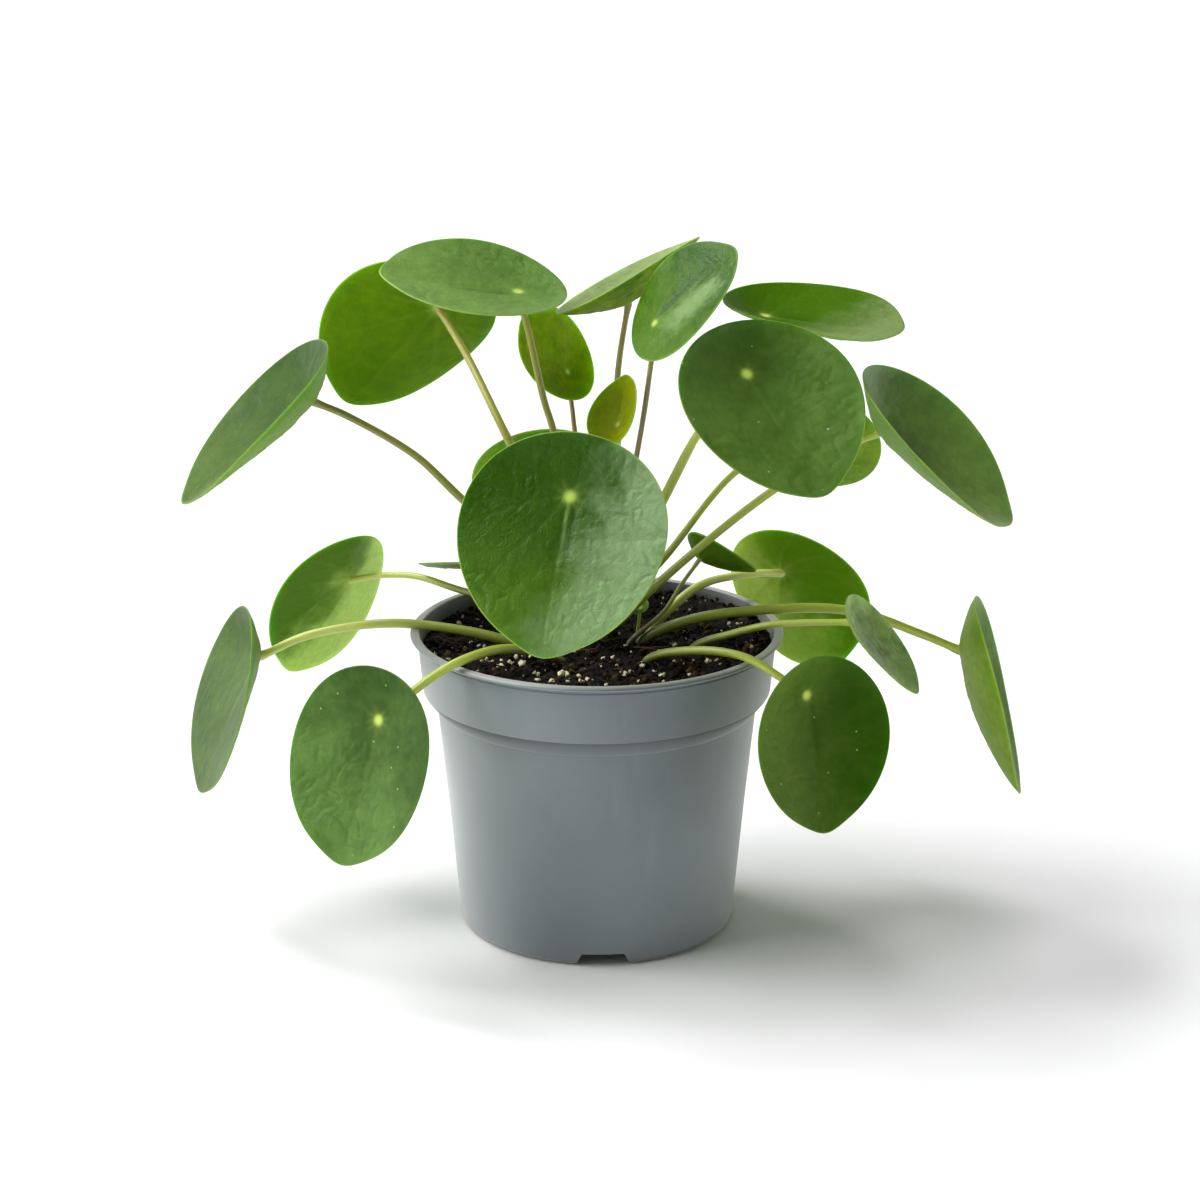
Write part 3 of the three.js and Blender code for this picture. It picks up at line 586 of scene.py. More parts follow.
class Nodes:
    """A node tree, built a node at a time."""

    def __init__(self, tree):
        self.tree = tree

    def plug(self, node, inputs):
        """Links inputs to outputs of other nodes, or sets them to numbers or colours."""
        for name, value in inputs.items():
            if isinstance(value, bpy.types.NodeSocket):
                self.tree.links.new(value, node.inputs[name])
            else:
                node.inputs[name].default_value = value

    def add(self, kind, output, inputs=None, **settings):
        """An output of a new node."""
        node = self.tree.nodes.new("ShaderNode" + kind)
        for setting, value in settings.items():
            setattr(node, setting, value)
        self.plug(node, inputs or {})
        return node.outputs[output]

    def remap(self, value, low, high, start=0.0, end=1.0):
        """A smooth step from start, where the value is low, to end."""
        inputs = {"Value": value, "From Min": low, "From Max": high, "To Min": start, "To Max": end}
        return self.add("MapRange", "Result", inputs, interpolation_type="SMOOTHSTEP")

    def math(self, operation, first, second=0.0):
        return self.add("Math", 0, {0: first, 1: second}, operation=operation)

    def times(self, first, second):
        return self.math("MULTIPLY", first, second)

    def plus(self, first, second):
        return self.math("ADD", first, second)


class Shader(Nodes):
    """The node tree of a new material with one Principled surface."""

    def __init__(self, name):
        self.material = bpy.data.materials.new(name)
        self.material.use_nodes = True
        super().__init__(self.material.node_tree)
        self.tree.nodes.clear()
        self.surface = self.tree.nodes.new("ShaderNodeBsdfPrincipled")
        output = self.tree.nodes.new("ShaderNodeOutputMaterial")
        self.plug(output, {"Surface": self.surface.outputs[0]})

    def attribute(self, name, output="Fac"):
        return self.add("Attribute", output, attribute_name=name)

    def object_place(self):
        return self.add("TexCoord", "Object")

    def stretched(self, vector, scale, shift=(0, 0, 0)):
        return self.add("Mapping", "Vector", {"Vector": vector, "Scale": scale, "Location": shift})

    def across(self, vector, direction):
        return self.add("VectorMath", "Value", {0: vector, 1: direction}, operation="DOT_PRODUCT")

    def length(self, vector):
        return self.add("VectorMath", "Value", {0: vector}, operation="LENGTH")

    def noise(self, vector, scale, detail=2.0, roughness=0.5, distortion=0.0):
        inputs = {"Vector": vector, "Scale": scale, "Detail": detail, "Roughness": roughness}
        return self.add("TexNoise", "Fac", {**inputs, "Distortion": distortion})

    def cells(self, vector, scale, output="Distance", dimensions="3D"):
        inputs = {"Vector": vector, "Scale": scale}
        return self.add("TexVoronoi", output, inputs, voronoi_dimensions=dimensions)

    def mix(self, share, first, second):
        return self.add("Mix", 2, {0: share, 6: first, 7: second}, data_type="RGBA")

    def blend(self, share, first, second):
        """A mix of two colours in screen values."""
        return self.mix(share, screen(*first), screen(*second))

    def layered(self, colour, *layers):
        """A colour under thin layers, each a share and a colour in screen values."""
        for share, tint in layers:
            colour = self.mix(share, colour, screen(*tint))
        return colour

    def bump(self, height, distance, strength=1.0):
        inputs = {"Height": height, "Distance": distance * MM, "Strength": strength}
        self.plug(self.surface, {"Normal": self.add("Bump", "Normal", inputs)})

    def finish(self, colour, roughness, **inputs):
        """The material, with the surface's inputs set, such as Sheen_Weight."""
        self.plug(self.surface, {"Base Color": colour, "Roughness": roughness})
        self.plug(self.surface, {name.replace("_", " "): v for name, v in inputs.items()})
        return self.material


# Blades


def leaf_axes(leaf):
    """Upper-face normal, tip direction and side direction."""
    bearing, height = np.radians(leaf.facing)
    turn = math.radians(leaf.turn)
    level = np.array([math.sin(bearing), -math.cos(bearing), 0])
    up = np.array([0, 0, 1.0])
    normal = level * math.cos(height) + up * math.sin(height)
    downhill = level * math.sin(height) - up * math.cos(height)
    across = np.cross(normal, downhill)
    tip = downhill * math.cos(turn) + across * math.sin(turn)
    return normal, tip, np.cross(normal, tip)


def outline_point(leaf, angle):
    """Place of the rim in the blade's plane: across and along from the hub."""
    length, width, base = leaf.size
    tip_bump = TIP_LENGTH_SHARE * length * bell(angle, TIP_WIDTH)
    along = length * (0.5 - base + 0.5 * np.cos(angle)) + tip_bump
    across = width / 2 * np.sin(angle) * (1 - EGG_SHAPE * np.cos(angle))
    return across, along


def blade_rise(leaf, fold, angle, reach):
    """Height over the blade's plane: angle 0 is the tip, reach runs from hub to rim."""
    cup, saddle, twist, wave, belly = (*leaf.form, 0)[:5]
    rim = cup + saddle * np.cos(2 * angle) + twist * np.sin(2 * angle)
    ripple = wave * np.sin(3 * angle + leaf.size[0])
    midrib = fold * MIDRIB_DEPTH * bell(angle, MIDRIB_WIDTH)
    tip_side = 0.5 + 0.5 * np.cos(angle)
    sag = 4 * reach * (1 - reach) * (belly * tip_side + midrib)
    return rim * reach**CUP_POWER + ripple * reach**2 - sag


def painted_light_band(leaf, look):
    """The way across the blade in which painted light and sheen make it lighter, and where that
    starts and ends.
    """
    bearing, _, start, end = look.fade
    turn, half = math.radians(bearing), leaf.size[0] / 2
    middle = half * (1 - 2 * leaf.size[2]) * math.cos(turn)
    return (math.sin(turn), math.cos(turn)), middle + start * half, middle + end * half


class Outline:
    """The rim as seen from the hub, to turn places in the plane into angle and reach."""

    def __init__(self, leaf):
        self.angle = np.linspace(-np.pi, np.pi, 721)
        across, along = outline_point(leaf, self.angle)
        self.bearing = np.unwrap(np.arctan2(across, along))
        self.radius = np.hypot(across, along)

    def radius_at(self, bearing):
        bearing = (bearing + np.pi) % (2 * np.pi) - np.pi
        return np.interp(bearing, self.bearing, self.radius)

    def locate(self, across, along):
        """Angle and reach of places in the plane."""
        bearing = np.arctan2(across, along)
        angle = np.interp(bearing, self.bearing, self.angle)
        return angle, np.hypot(across, along) / self.radius_at(bearing)

    def place(self, bearing, reach):
        """The place in the plane at a bearing from the hub."""
        radius = self.radius_at(bearing) * reach
        return np.stack([radius * np.sin(bearing), radius * np.cos(bearing)], axis=-1)


def vein_lines(outline, rng):
    """Main veins from the hub to near the rim, and their branches, in the plane."""
    mains, branches = [], []
    reach = np.linspace(0, VEIN_END, 16)
    for degrees in MAIN_VEIN_ANGLES:
        start = math.radians(degrees + rng.uniform(-4, 4) * (degrees != 0))
        bend = rng.uniform(0.10, 0.2)
        wander = 0.03 * np.sin(reach * rng.uniform(5, 9) + rng.uniform(0, 6))
        bearing = start * (1 - bend * reach**1.5) + wander * reach
        mains.append(outline.place(bearing, reach))
        for share in BRANCH_STARTS:
            for way in (-1, 1):
                first = share + rng.uniform(-0.06, 0.06)
                run = np.linspace(0, 1, 8)
                branch_reach = first + run * (0.95 - first) * rng.uniform(0.55, 0.8)
                spread = rng.uniform(0.28, 0.42) * (1.2 - first)
                branch_bearing = np.interp(branch_reach, reach, bearing)
                branch_bearing = branch_bearing + way * spread * np.sqrt(run)
                branches.append(outline.place(branch_bearing, branch_reach))
    return mains, branches


def drawn(places, lines, width, thinning, strength, fading):
    """How much each place lies on lines that get thinner and fainter along the way."""
    mark = np.zeros(len(places))
    for line in lines:
        distance, share = distance_to_line(places, line)
        on_line = bell(distance, width * (1 - thinning * share))
        mark = np.maximum(mark, strength * (1 - fading * share) * on_line)
    return mark


def midrib_marks(places, line, scale, seed):
    """The crease along the midrib, the fine ridge in it, and the dip beside it."""
    distance, share = distance_to_line(places, line)
    uneven = 0.8 + 0.4 * value_noise(places, 3 * scale, seed + 13)
    beside = places[:, 0] - np.interp(places[:, 1], line[:, 1], line[:, 0])
    dip = bell(beside / scale - 1.9, 1.2) * smooth(share, 0.8, 0.2)
    return {
        "crease": bell(distance, 1.2 * scale) * (1 - share**2),
        "ridge": bell(distance, 0.5 * scale) * (smooth(share, 0.75, 0.1) * uneven),
        "dip": dip * smooth(places[:, 1], 0.5 * scale, 3 * scale),
    }


def blade_marks(leaf, outline, places, seed):
    """Veins, net, hub and rim over the blade, each from 0 to 1 except rim in mm."""
    scale = leaf.size[0] / USUAL_LENGTH
    least = max(scale, 0.5)
    mains, branches = vein_lines(outline, np.random.default_rng(seed))
    warp = value_noise(places, 9, seed + 11)[:, None] * 0.8
    edges = cell_edges(places + warp, 3.6 * max(scale, 0.55), seed + 12)
    radius = np.hypot(*places.T)
    _, reach = outline.locate(*places.T)
    return {
        "vein": drawn(places, mains, 1.0 * least, 0.62, 1, 0.45),
        "branch": drawn(places, branches, 0.6 * least, 0.5, 0.7, 0.5),
        **midrib_marks(places, mains[0], scale, seed),
        "net": 1 - smooth(edges, 0.02, 0.3),
        "cell": smooth(edges, 0.0, 0.7),
        "hub": bell(radius, 1.9 * least),
        "near": np.exp(-radius / (9 * scale)),
        "rim": (1 - reach) * outline.radius_at(np.arctan2(*places.T)),
    }


def quilting(places, scale, seed):
    """Height of the puckers between the veins, and how deep in a crease each place is."""
    warp = np.stack([value_noise(places, 7 * scale, seed + k) for k in (31, 32)], axis=1)
    bent = places + 2.3 * scale * warp
    crease = 1 - np.hypot(value_noise(bent, 3.0 * scale, seed + 33), 0.12)
    fine = 1 - np.hypot(value_noise(bent, 2.0 * scale, seed + 34), 0.15)
    patch = 0.3 + 0.7 * smooth(value_noise(places, 16 * scale, seed + 35), -0.5, 0.4)
    return patch * (0.18 * fine**2 - 0.42 * crease**2), patch * smooth(crease, 0.72, 0.9)


def face_heights(leaf, look, places, marks, seed):
    """Heights of the upper and the lower face, and adds the wrinkles to the marks."""
    scale = leaf.size[0] / USUAL_LENGTH
    angle, reach = Outline(leaf).locate(*places.T)
    inside = smooth(marks["rim"], 0.0, PLAIN_MARGIN)
    puckers, wrinkle = quilting(places, scale, seed)
    way, start, end = painted_light_band(leaf, look)
    lively = 1 - look.calm * (1 - smooth(places @ way, start, end))
    marks["wrinkle"] = wrinkle * lively
    swell = 0.3 * value_noise(places, 13 * scale, seed + 21)
    swell = swell + 0.12 * value_noise(places, 7 * scale, seed + 22)
    grooves = VEIN_GROOVE * marks["vein"] * (1 - marks["near"])
    grooves = grooves + BRANCH_GROOVE * marks["branch"]
    grooves = grooves + CREASE_GROOVE * look.fold * marks["crease"]
    fold = look.fold * (MIDRIB_RIDGE * marks["ridge"] - MIDRIB_RIDGE * marks["dip"])
    quilt = (puckers + 0.05 * marks["cell"]) * lively - grooves + fold / look.relief
    level_hub = 1 - 0.95 * bell(np.hypot(*places.T), LEVEL_HUB)
    relief = look.relief * inside * level_hub * (swell + quilt) * min(1, scale + 0.1)
    upper = blade_rise(leaf, look.fold, angle, reach) + relief
    body = RIM_THICKNESS + (BLADE_THICKNESS - RIM_THICKNESS) * inside
    ribs = VEIN_RIB * marks["vein"] * (1 - 0.3 * reach) + BRANCH_RIB * marks["branch"]
    boss = HUB_BOSS * marks["hub"]
    return upper, upper - body - inside * (ribs * min(1, scale + 0.2) + boss)


def blade_object(leaf, look, seed, material):
    """Two quilted faces with veins, joined by a rounded rim."""
    length, _, base = leaf.size
    size = YOUNG_GRID if length < YOUNG_BLADE_LENGTH else look.grid
    x, y = square_on_disc(size)
    rim_across, rim_along = outline_point(leaf, np.arctan2(x, y))
    centre = length * (0.5 - base)
    radius = np.hypot(x, y)
    places = np.stack([radius * rim_across, centre + radius * (rim_along - centre)], axis=1)
    marks = blade_marks(leaf, Outline(leaf), places, seed)
    upper, lower = face_heights(leaf, look, places, marks, seed)

    normal, tip, side = leaf_axes(leaf)
    across, along = places.T[:, :, None]
    flat = np.asarray(leaf.hub) + along * tip + across * side
    top = flat + upper[:, None] * normal
    bottom = flat + lower[:, None] * normal
    border = grid_border(size)
    outward = unit_rows(flat[border] - flat.mean(axis=0))
    middle = (top[border] + bottom[border]) / 2 + outward * RIM_BULGE
    count = size * size
    ring = np.arange(len(border)) + 2 * count
    faces = [
        grid_faces(size, flip=True),
        grid_faces(size, offset=count),
        strip_faces(border, ring),
        strip_faces(ring, border + count),
    ]
    marks["leaf_place"] = np.column_stack([places, np.full(count, seed * 37.0)])
    both = {k: np.concatenate([v, v, v[border]]) for k, v in marks.items()}
    both["face"] = np.repeat([0, 1, 0.5], [count, count, len(border)])
    points = np.concatenate([top, bottom, middle])
    obj = make_object(leaf.name + "_blade", points, np.concatenate(faces), both)
    seat(obj, "blade_" + leaf.name, material)


# Petioles


def stem_radius(z):
    share = (z - STEM_BASE_Z) / (STEM_TOP_Z - STEM_BASE_Z)
    return STEM_BASE_RADIUS + (STEM_TOP_RADIUS - STEM_BASE_RADIUS) * share


def soil_height(x, y):
    """Height of the soil's surface: a low mound round the stem, and crumbs of peat."""
    mound = SOIL_MOUND * np.exp(-(x**2 + y**2) / SOIL_MOUND_RADIUS**2)
    swell = SOIL_SWELL * np.sin(0.19 * x + 1.3) * np.cos(0.17 * y - 0.4)
    waves = np.sin(0.61 * x - 0.37 * y + 2) * np.cos(0.43 * x + 0.52 * y)
    return SOIL_LEVEL + mound + SOIL_SLOPE * y + swell + SOIL_CRUMB * waves


def surface_height(x, y):
    """The soil's height with the peat that is heaped against the wall on the right."""
    radius = np.hypot(x, y)
    rightward = smooth(x / np.maximum(radius, 1), 0.1, 0.7)
    return soil_height(x, y) + SOIL_HEAP * smooth(radius, *HEAP_BAND) * rightward


def petiole_points(leaf):
    """The path as in the part's source, with its last point moved toward the chord."""
    if leaf.stem:
        bearing, height = leaf.stem
        outward = level_way(bearing)
        reach = stem_radius(height) + CONTACT_GAP + PETIOLE_SEAT * leaf.petiole[0]
        start = outward * reach + (0, 0, height)
        points = [start, start + outward * PETIOLE_RISE + (0, 0, PETIOLE_RISE)]
    else:
        x, y = leaf.soil
        surface = float(soil_height(x, y))
        root = np.array([x * ROOT_LEAN, y * ROOT_LEAN, surface - ROOT_DEPTH])
        points = [root, np.array([x, y, surface])]
    points += [np.array(p, float) for p in leaf.path]
    normal = leaf_axes(leaf)[0]
    hub = np.asarray(leaf.hub, float)
    lead = min(HUB_LEAD, leaf.size[0] * HUB_LEAD_SHARE)
    chord = unit(hub - points[-2])
    aside = points[-2] + chord * ((points[-1] - points[-2]) @ chord) - points[-1]
    points[-1] = points[-1] + aside * min(0.5, STRAIGHTENING / np.linalg.norm(aside))
    below = unit(points[-1] - hub)
    lean = 0.35 * (1 - smooth(below @ -normal, 0.3, 0.8))
    straight = unit(below - lean * normal)
    points.append(hub - normal * BLADE_THICKNESS + straight * lead)
    points.append(hub - normal * (BLADE_THICKNESS + HUB_GAP))
    return np.array(points)


def centripetal_curve(points, per_span=24):
    """A centripetal Catmull-Rom curve through the points."""
    ends = np.vstack([2 * points[0] - points[1], points, 2 * points[-1] - points[-2]])
    curve = []
    share = np.linspace(0, 1, per_span, endpoint=False)[:, None]
    for i in range(len(points) - 1):
        p0, p1, p2, p3 = ends[i : i + 4]
        d0, d1, d2 = (math.sqrt(np.linalg.norm(b - a)) for a, b in ((p0, p1), (p1, p2), (p2, p3)))
        t1 = ((p1 - p0) / d0 - (p2 - p0) / (d0 + d1) + (p2 - p1) / d1) * d1
        t2 = ((p2 - p1) / d1 - (p3 - p1) / (d1 + d2) + (p3 - p2) / d2) * d1
        c2 = -3 * p1 + 3 * p2 - 2 * t1 - t2
        c3 = 2 * p1 - 2 * p2 + t1 + t2
        curve.append(p1 + t1 * share + c2 * share**2 + c3 * share**3)
    return np.vstack([*curve, points[-1:]])


def evenly_spaced(curve, step):
    """The curve with its points about a step apart, and the length passed at each."""
    lengths = np.concatenate([[0], np.cumsum(np.linalg.norm(np.diff(curve, axis=0), axis=1))])
    count = max(8, int(round(lengths[-1] / step)) + 1)
    passed = np.linspace(0, lengths[-1], count)
    spaced = np.stack([np.interp(passed, lengths, curve[:, k]) for k in range(3)], axis=1)
    return spaced, passed


def petiole_object(leaf, seed, material):
    """A slender stalk, thicker where it grows from the stem and flaring into the blade."""
    step = PETIOLE_STEP if leaf.size[0] > SEEDLING_LENGTH else SEEDLING_STEP
    centres, passed = evenly_spaced(centripetal_curve(petiole_points(leaf)), step)
    total = passed[-1]
    small = min(1, leaf.size[0] / 45)
    root_radius, hub_radius = leaf.petiole
    radii = root_radius + (hub_radius - root_radius) * passed / total
    radii = radii * (1 + ROOT_FLARE[0] * bell(passed, ROOT_FLARE[1]))
    wobble = value_noise(np.column_stack([passed, passed * 0]), WOBBLE_PITCH, seed)
    radii = radii * (1 + WOBBLE * wobble)
    radii = radii + HUB_FLARE[0] * small * bell(total - passed, HUB_FLARE[1])
    neck = np.asarray(leaf.hub, float) - np.outer(NECK_DEPTHS, leaf_axes(leaf)[0])
    centres = np.vstack([centres, neck])
    radii = np.concatenate([radii, radii[-1] + np.array(NECK_FLARE) * small])
    passed = np.concatenate([passed, [total] * len(neck)])
    if leaf.stem:
        bearing, height = leaf.stem
        inner = stem_radius(height) * ROOT_INSET_SHARE
        start = level_way(bearing) * inner + (0, 0, height - ROOT_DROP)
        centres = np.vstack([start, centres])
        radii = np.concatenate([radii[:1], radii])
        passed = np.concatenate([[0], passed])
    points, faces = tube(centres, radii, PETIOLE_SIDES)
    passed = np.repeat(passed, PETIOLE_SIDES)
    lift = (points[:-2] - np.repeat(centres, PETIOLE_SIDES, axis=0))[:, 2]
    around = np.tile(circle(PETIOLE_SIDES) * 1.5, (len(centres), 1))
    place = np.vstack([np.column_stack([passed, around]), (0, 0, 0), (total, 0, 0)])
    marks = {
        "along": np.concatenate([passed / total, [0, 1]]),
        "lift": np.concatenate([lift / np.repeat(radii, PETIOLE_SIDES), [0, 0]]),
        "stalk_place": place + (0, 0, seed * 13.0),
    }
    obj = make_object(leaf.name + "_petiole", points, faces, marks)
    seat(obj, "petiole_" + leaf.name, material)


# Main stem


def stem_object(material):
    """The short woody stem with a ring at each old leaf scar."""
    pitch = (STEM_TOP_Z - STEM_BASE_Z) / STEM_NODES
    heights = np.linspace(STEM_BASE_Z, STEM_TOP_Z, STEM_RINGS)
    phase = ((heights - STEM_BASE_Z) / pitch) % 1
    radii = stem_radius(heights) - 0.4 * np.sin(np.pi * phase) ** 0.7
    tip_radii = STEM_TOP_RADIUS * np.array([0.93, 0.74, 0.46, 0.16])
    heights = np.concatenate([heights, STEM_TOP_Z + np.array([0.9, 1.8, 2.5, 2.9])])
    centres = np.column_stack([heights * 0, heights * 0, heights])
    points, faces = tube(centres, np.concatenate([radii, tip_radii]), STEM_SIDES)
    turn = np.arctan2(points[:, 1], points[:, 0])
    ridges = value_noise(np.column_stack([turn * 4, points[:, 2] * 0.5]), 1, STEM_SEED)
    points[:, :2] *= (1 + 0.05 * ridges)[:, None]
    seat(make_object("stem", points, faces), "main_stem", material)


# Pot


def pot_inner_radius(z):
    heights = [FOOT_ROUNDING, SHOULDER_Z, COLLAR_BASE_Z, POT_HEIGHT - LIP_HEIGHT]
    outer = [FOOT_RADIUS, SHOULDER_RADIUS, COLLAR_BASE_RADIUS, COLLAR_TOP_RADIUS]
    return float(np.interp(z, heights, outer)) - POT_WALL


def filleted(profile):
    """Each corner (radius, height, rounding) as an arc of that rounding."""
    points = [np.array(profile[0][:2], float)]
    for before, corner, after in zip(profile, profile[1:], profile[2:]):
        here = np.array(corner[:2], float)
        rounding = corner[2] if len(corner) > 2 else 0
        if not rounding:
            points.append(here)
            continue
        back, ahead = np.array(before[:2]) - here, np.array(after[:2]) - here
        reach = min(rounding, *(np.linalg.norm(way) * FILLET_SHARE for way in (back, ahead)))
        start, end = here + unit(back) * reach, here + unit(ahead) * reach
        for t in np.linspace(0, 1, FILLET_STEPS + 1):
            points.append((1 - t) ** 2 * start + 2 * t * (1 - t) * here + t**2 * end)
    points.append(np.array(profile[-1][:2], float))
    return np.array(points)


def pot_profile():
    """The wall's section, from under the floor round the outside to the floor's top."""
    lip_bottom = POT_HEIGHT - LIP_HEIGHT
    lip_base = POT_HEIGHT - LIP_FACE
    groove_base = lip_bottom - LIP_GROOVE_WIDTH
    groove_radius = COLLAR_TOP_RADIUS - LIP_GROOVE
    ring = FOOT_RADIUS - FOOT_RING_INSET
    wall_middle = FOOT_RADIUS + (SHOULDER_RADIUS - FOOT_RADIUS) * 0.5
    corners = [
        (0, FLOOR_UNDERSIDE_Z),
        (FOOT_RADIUS - POT_WALL - 0.3, FLOOR_UNDERSIDE_Z, 0.5),
        (ring - FOOT_RING_WIDTH, 0, 0.3),
        (ring, 0, 0.4),
        (FOOT_RADIUS - 0.7, FOOT_ROUNDING * 0.3, 0.3),
        (FOOT_RADIUS - 0.15, FOOT_ROUNDING * 0.55, 0.5),
        (FOOT_RADIUS, FOOT_ROUNDING, 0.8),
        (wall_middle, (FOOT_ROUNDING + SHOULDER_Z) / 2),
        (SHOULDER_RADIUS + 0.5, SHOULDER_Z + 0.7, 0.5),
        (SHOULDER_RADIUS - SHOULDER_GROOVE, SHOULDER_Z + 0.1, 0.2),
        (SHOULDER_RADIUS, SHOULDER_Z - 0.6, 0.3),
        (COLLAR_BASE_RADIUS, COLLAR_BASE_Z, COLLAR_ROUNDING),
        (COLLAR_TOP_RADIUS, groove_base, 0.2),
        (groove_radius, groove_base + 0.1, 0.2),
        (groove_radius, lip_base, 0.2),
        (LIP_RADIUS - LIP_ROUNDING / 2, lip_base, 0.25),
        (LIP_RADIUS, lip_base + LIP_ROUNDING / 2, 0.3),
        (LIP_RADIUS, POT_HEIGHT - LIP_ROUNDING, 0.4),
        (LIP_RADIUS - LIP_ROUNDING, POT_HEIGHT, 0.4),
        (COLLAR_TOP_RADIUS - POT_WALL / 2, POT_HEIGHT, 0.5),
        (COLLAR_TOP_RADIUS - POT_WALL, lip_bottom, 0.6),
        (pot_inner_radius(COLLAR_BASE_Z), COLLAR_BASE_Z, 0.8),
        (pot_inner_radius(SHOULDER_Z), SHOULDER_Z, 0.8),
        (pot_inner_radius(FLOOR_TOP_Z), FLOOR_TOP_Z, 0.5),
        (0, FLOOR_TOP_Z),
    ]
    return filleted(corners)


def notch_cutter(angle):
    """A prism that is wider at its base and runs out through the foot."""
    half_top, half_base, corner = NOTCH_TOP_WIDTH / 2, NOTCH_BASE_WIDTH / 2, NOTCH_CORNER / 2
    right = [
        (half_base, -1),
        (half_base, 0),
        (half_top + corner, NOTCH_HEIGHT - NOTCH_CORNER),
        (half_top + corner * 0.3, NOTCH_HEIGHT - NOTCH_CORNER * 0.3),
        (half_top - corner, NOTCH_HEIGHT),
    ]
    section = right + [(-x, z) for x, z in reversed(right)]
    outward = level_way(angle)
    across = np.cross((0, 0, 1), outward)
    radii = [FOOT_RADIUS + run for run in NOTCH_RUN]
    points = [outward * r + across * x + (0, 0, z) for r in radii for x, z in section]
    count = len(section)
    faces = [list(range(count)), list(range(2 * count - 1, count - 1, -1))]
    faces += [[(i + 1) % count, i, i + count, (i + 1) % count + count] for i in range(count)]
    return points, faces


def drain_cutter(angle):
    centre = level_way(angle) * DRAIN_RING_RADIUS
    centres = [centre + (0, 0, z) for z in (FLOOR_UNDERSIDE_Z - 3, FLOOR_TOP_Z + 3)]
    return tube(centres, [DRAIN_HOLE_RADIUS] * 2, DRAIN_SIDES)


def cut(obj, cutters):
    """Takes the cutters' solids out of the object and keeps the result as its mesh."""
    points, faces, _ = joined(cutters)
    tool = make_object("cutter", points, faces)
    made = bmesh.new()
    made.from_mesh(tool.data)
    bmesh.ops.recalc_face_normals(made, faces=made.faces)
    made.to_mesh(tool.data)
    made.free()
    modifier = obj.modifiers.new("cut", "BOOLEAN")
    modifier.operation = "DIFFERENCE"
    modifier.solver = "EXACT"
    modifier.object = tool
    bpy.context.view_layer.update()
    graph = bpy.context.evaluated_depsgraph_get()
    mesh = bpy.data.meshes.new_from_object(obj.evaluated_get(graph))
    obj.modifiers.clear()
    obj.data = mesh
    bpy.data.objects.remove(tool)


def mark_sharp(obj, degrees):
    """Smooth shading with a hard edge wherever the faces meet at more than an angle."""
    made = bmesh.new()
    made.from_mesh(obj.data)
    bmesh.ops.remove_doubles(made, verts=made.verts, dist=0.01 * MM)
    for face in made.faces:
        face.smooth = True
    for edge in made.edges:
        edge.smooth = len(edge.link_faces) < 2 or edge.calc_face_angle(0) < math.radians(degrees)
    made.to_mesh(obj.data)
    made.free()


def pot_object(material):
    obj = make_object("nursery_pot", *turned(pot_profile(), POT_SIDES))
    cutters = [notch_cutter(NOTCH_FRONT_ANGLE + 360 * i / NOTCH_COUNT) for i in range(NOTCH_COUNT)]
    cutters += [drain_cutter(360 * (i + 0.5) / DRAIN_HOLE_COUNT) for i in range(DRAIN_HOLE_COUNT)]
    cut(obj, cutters)
    mark_sharp(obj, SHARP_ANGLE)
    seat(obj, "pot", material)


# Soil


def soil_object(material):
    """The peat: a rough surface of clods over a plain plug that fills the pot."""
    x, y = square_on_disc(SOIL_GRID)
    rim = pot_inner_radius(SOIL_LEVEL - 1) - SOIL_CLEARANCE
    x, y = x * rim, y * rim
    places = np.column_stack([x, y])
    fade = 1 - smooth(np.hypot(x, y), rim - 2.5, rim - 0.3)
    clods = two_layers(places, 7.5, SOIL_SEED) * 0.75
    crumbs = 0.7 * (smooth(cell_edges(places, 2.6, SOIL_SEED + 2), 0, 0.5) - 0.5)
    grains = two_layers(places, 1.9, SOIL_SEED + 4) * 0.35
    z = surface_height(x, y) + fade * SOIL_CLOD * (clods * 0.7 + crumbs * 0.5 + grains * 0.7)
    border = grid_border(SOIL_GRID)
    turn = np.arctan2(y[border], x[border])
    base_z = FLOOR_TOP_Z + SOIL_CLEARANCE
    rings, points = [border], [np.column_stack([x, y, z])]
    count = len(x)
    for height in (COLLAR_BASE_Z, SHOULDER_Z, base_z):
        radius = pot_inner_radius(height) - SOIL_CLEARANCE
        level = np.full(len(turn), height)
        points.append(np.column_stack([radius * np.cos(turn), radius * np.sin(turn), level]))
        rings.append(np.arange(len(turn)) + count)
        count += len(turn)
    points.append([[0, 0, base_z]])
    faces = grid_faces(SOIL_GRID, flip=True).tolist()
    for upper, lower in zip(rings, rings[1:]):
        faces += strip_faces(upper, lower).tolist()
    last = rings[-1]
    faces += [[i, j, count] for i, j in zip(last.tolist(), np.roll(last, -1).tolist())]
    seat(make_object("peat", np.concatenate(points), faces), "soil", material)


def scattered(rng, count, outer, inner=STEM_CLEARANCE):
    """Even random places on the soil, clear of the stem."""
    radius = np.sqrt(rng.uniform((inner / outer) ** 2, 1, count)) * outer
    turn = rng.uniform(0, 2 * np.pi, count)
    return np.column_stack([radius * np.cos(turn), radius * np.sin(turn)])


def random_turn(rng):
    """A random rotation matrix."""
    w, x, y, z = unit(rng.normal(size=4))
    return np.array(
        [
            [1 - 2 * (y * y + z * z), 2 * (x * y - w * z), 2 * (x * z + w * y)],
            [2 * (x * y + w * z), 1 - 2 * (x * x + z * z), 2 * (y * z - w * x)],
            [2 * (x * z - w * y), 2 * (y * z + w * x), 1 - 2 * (x * x + y * y)],
        ]
    )


def lump(rng, base, size, ranges, roughness):
    """One irregular grain out of a unit sphere, stretched at random within the ranges."""
    points, faces = base
    stretch = size * np.array([rng.uniform(*limits) for limits in ranges])
    bumps = 1 + roughness * rng.uniform(-1, 1, len(points))
    return (points * bumps[:, None] * stretch) @ random_turn(rng).T, faces


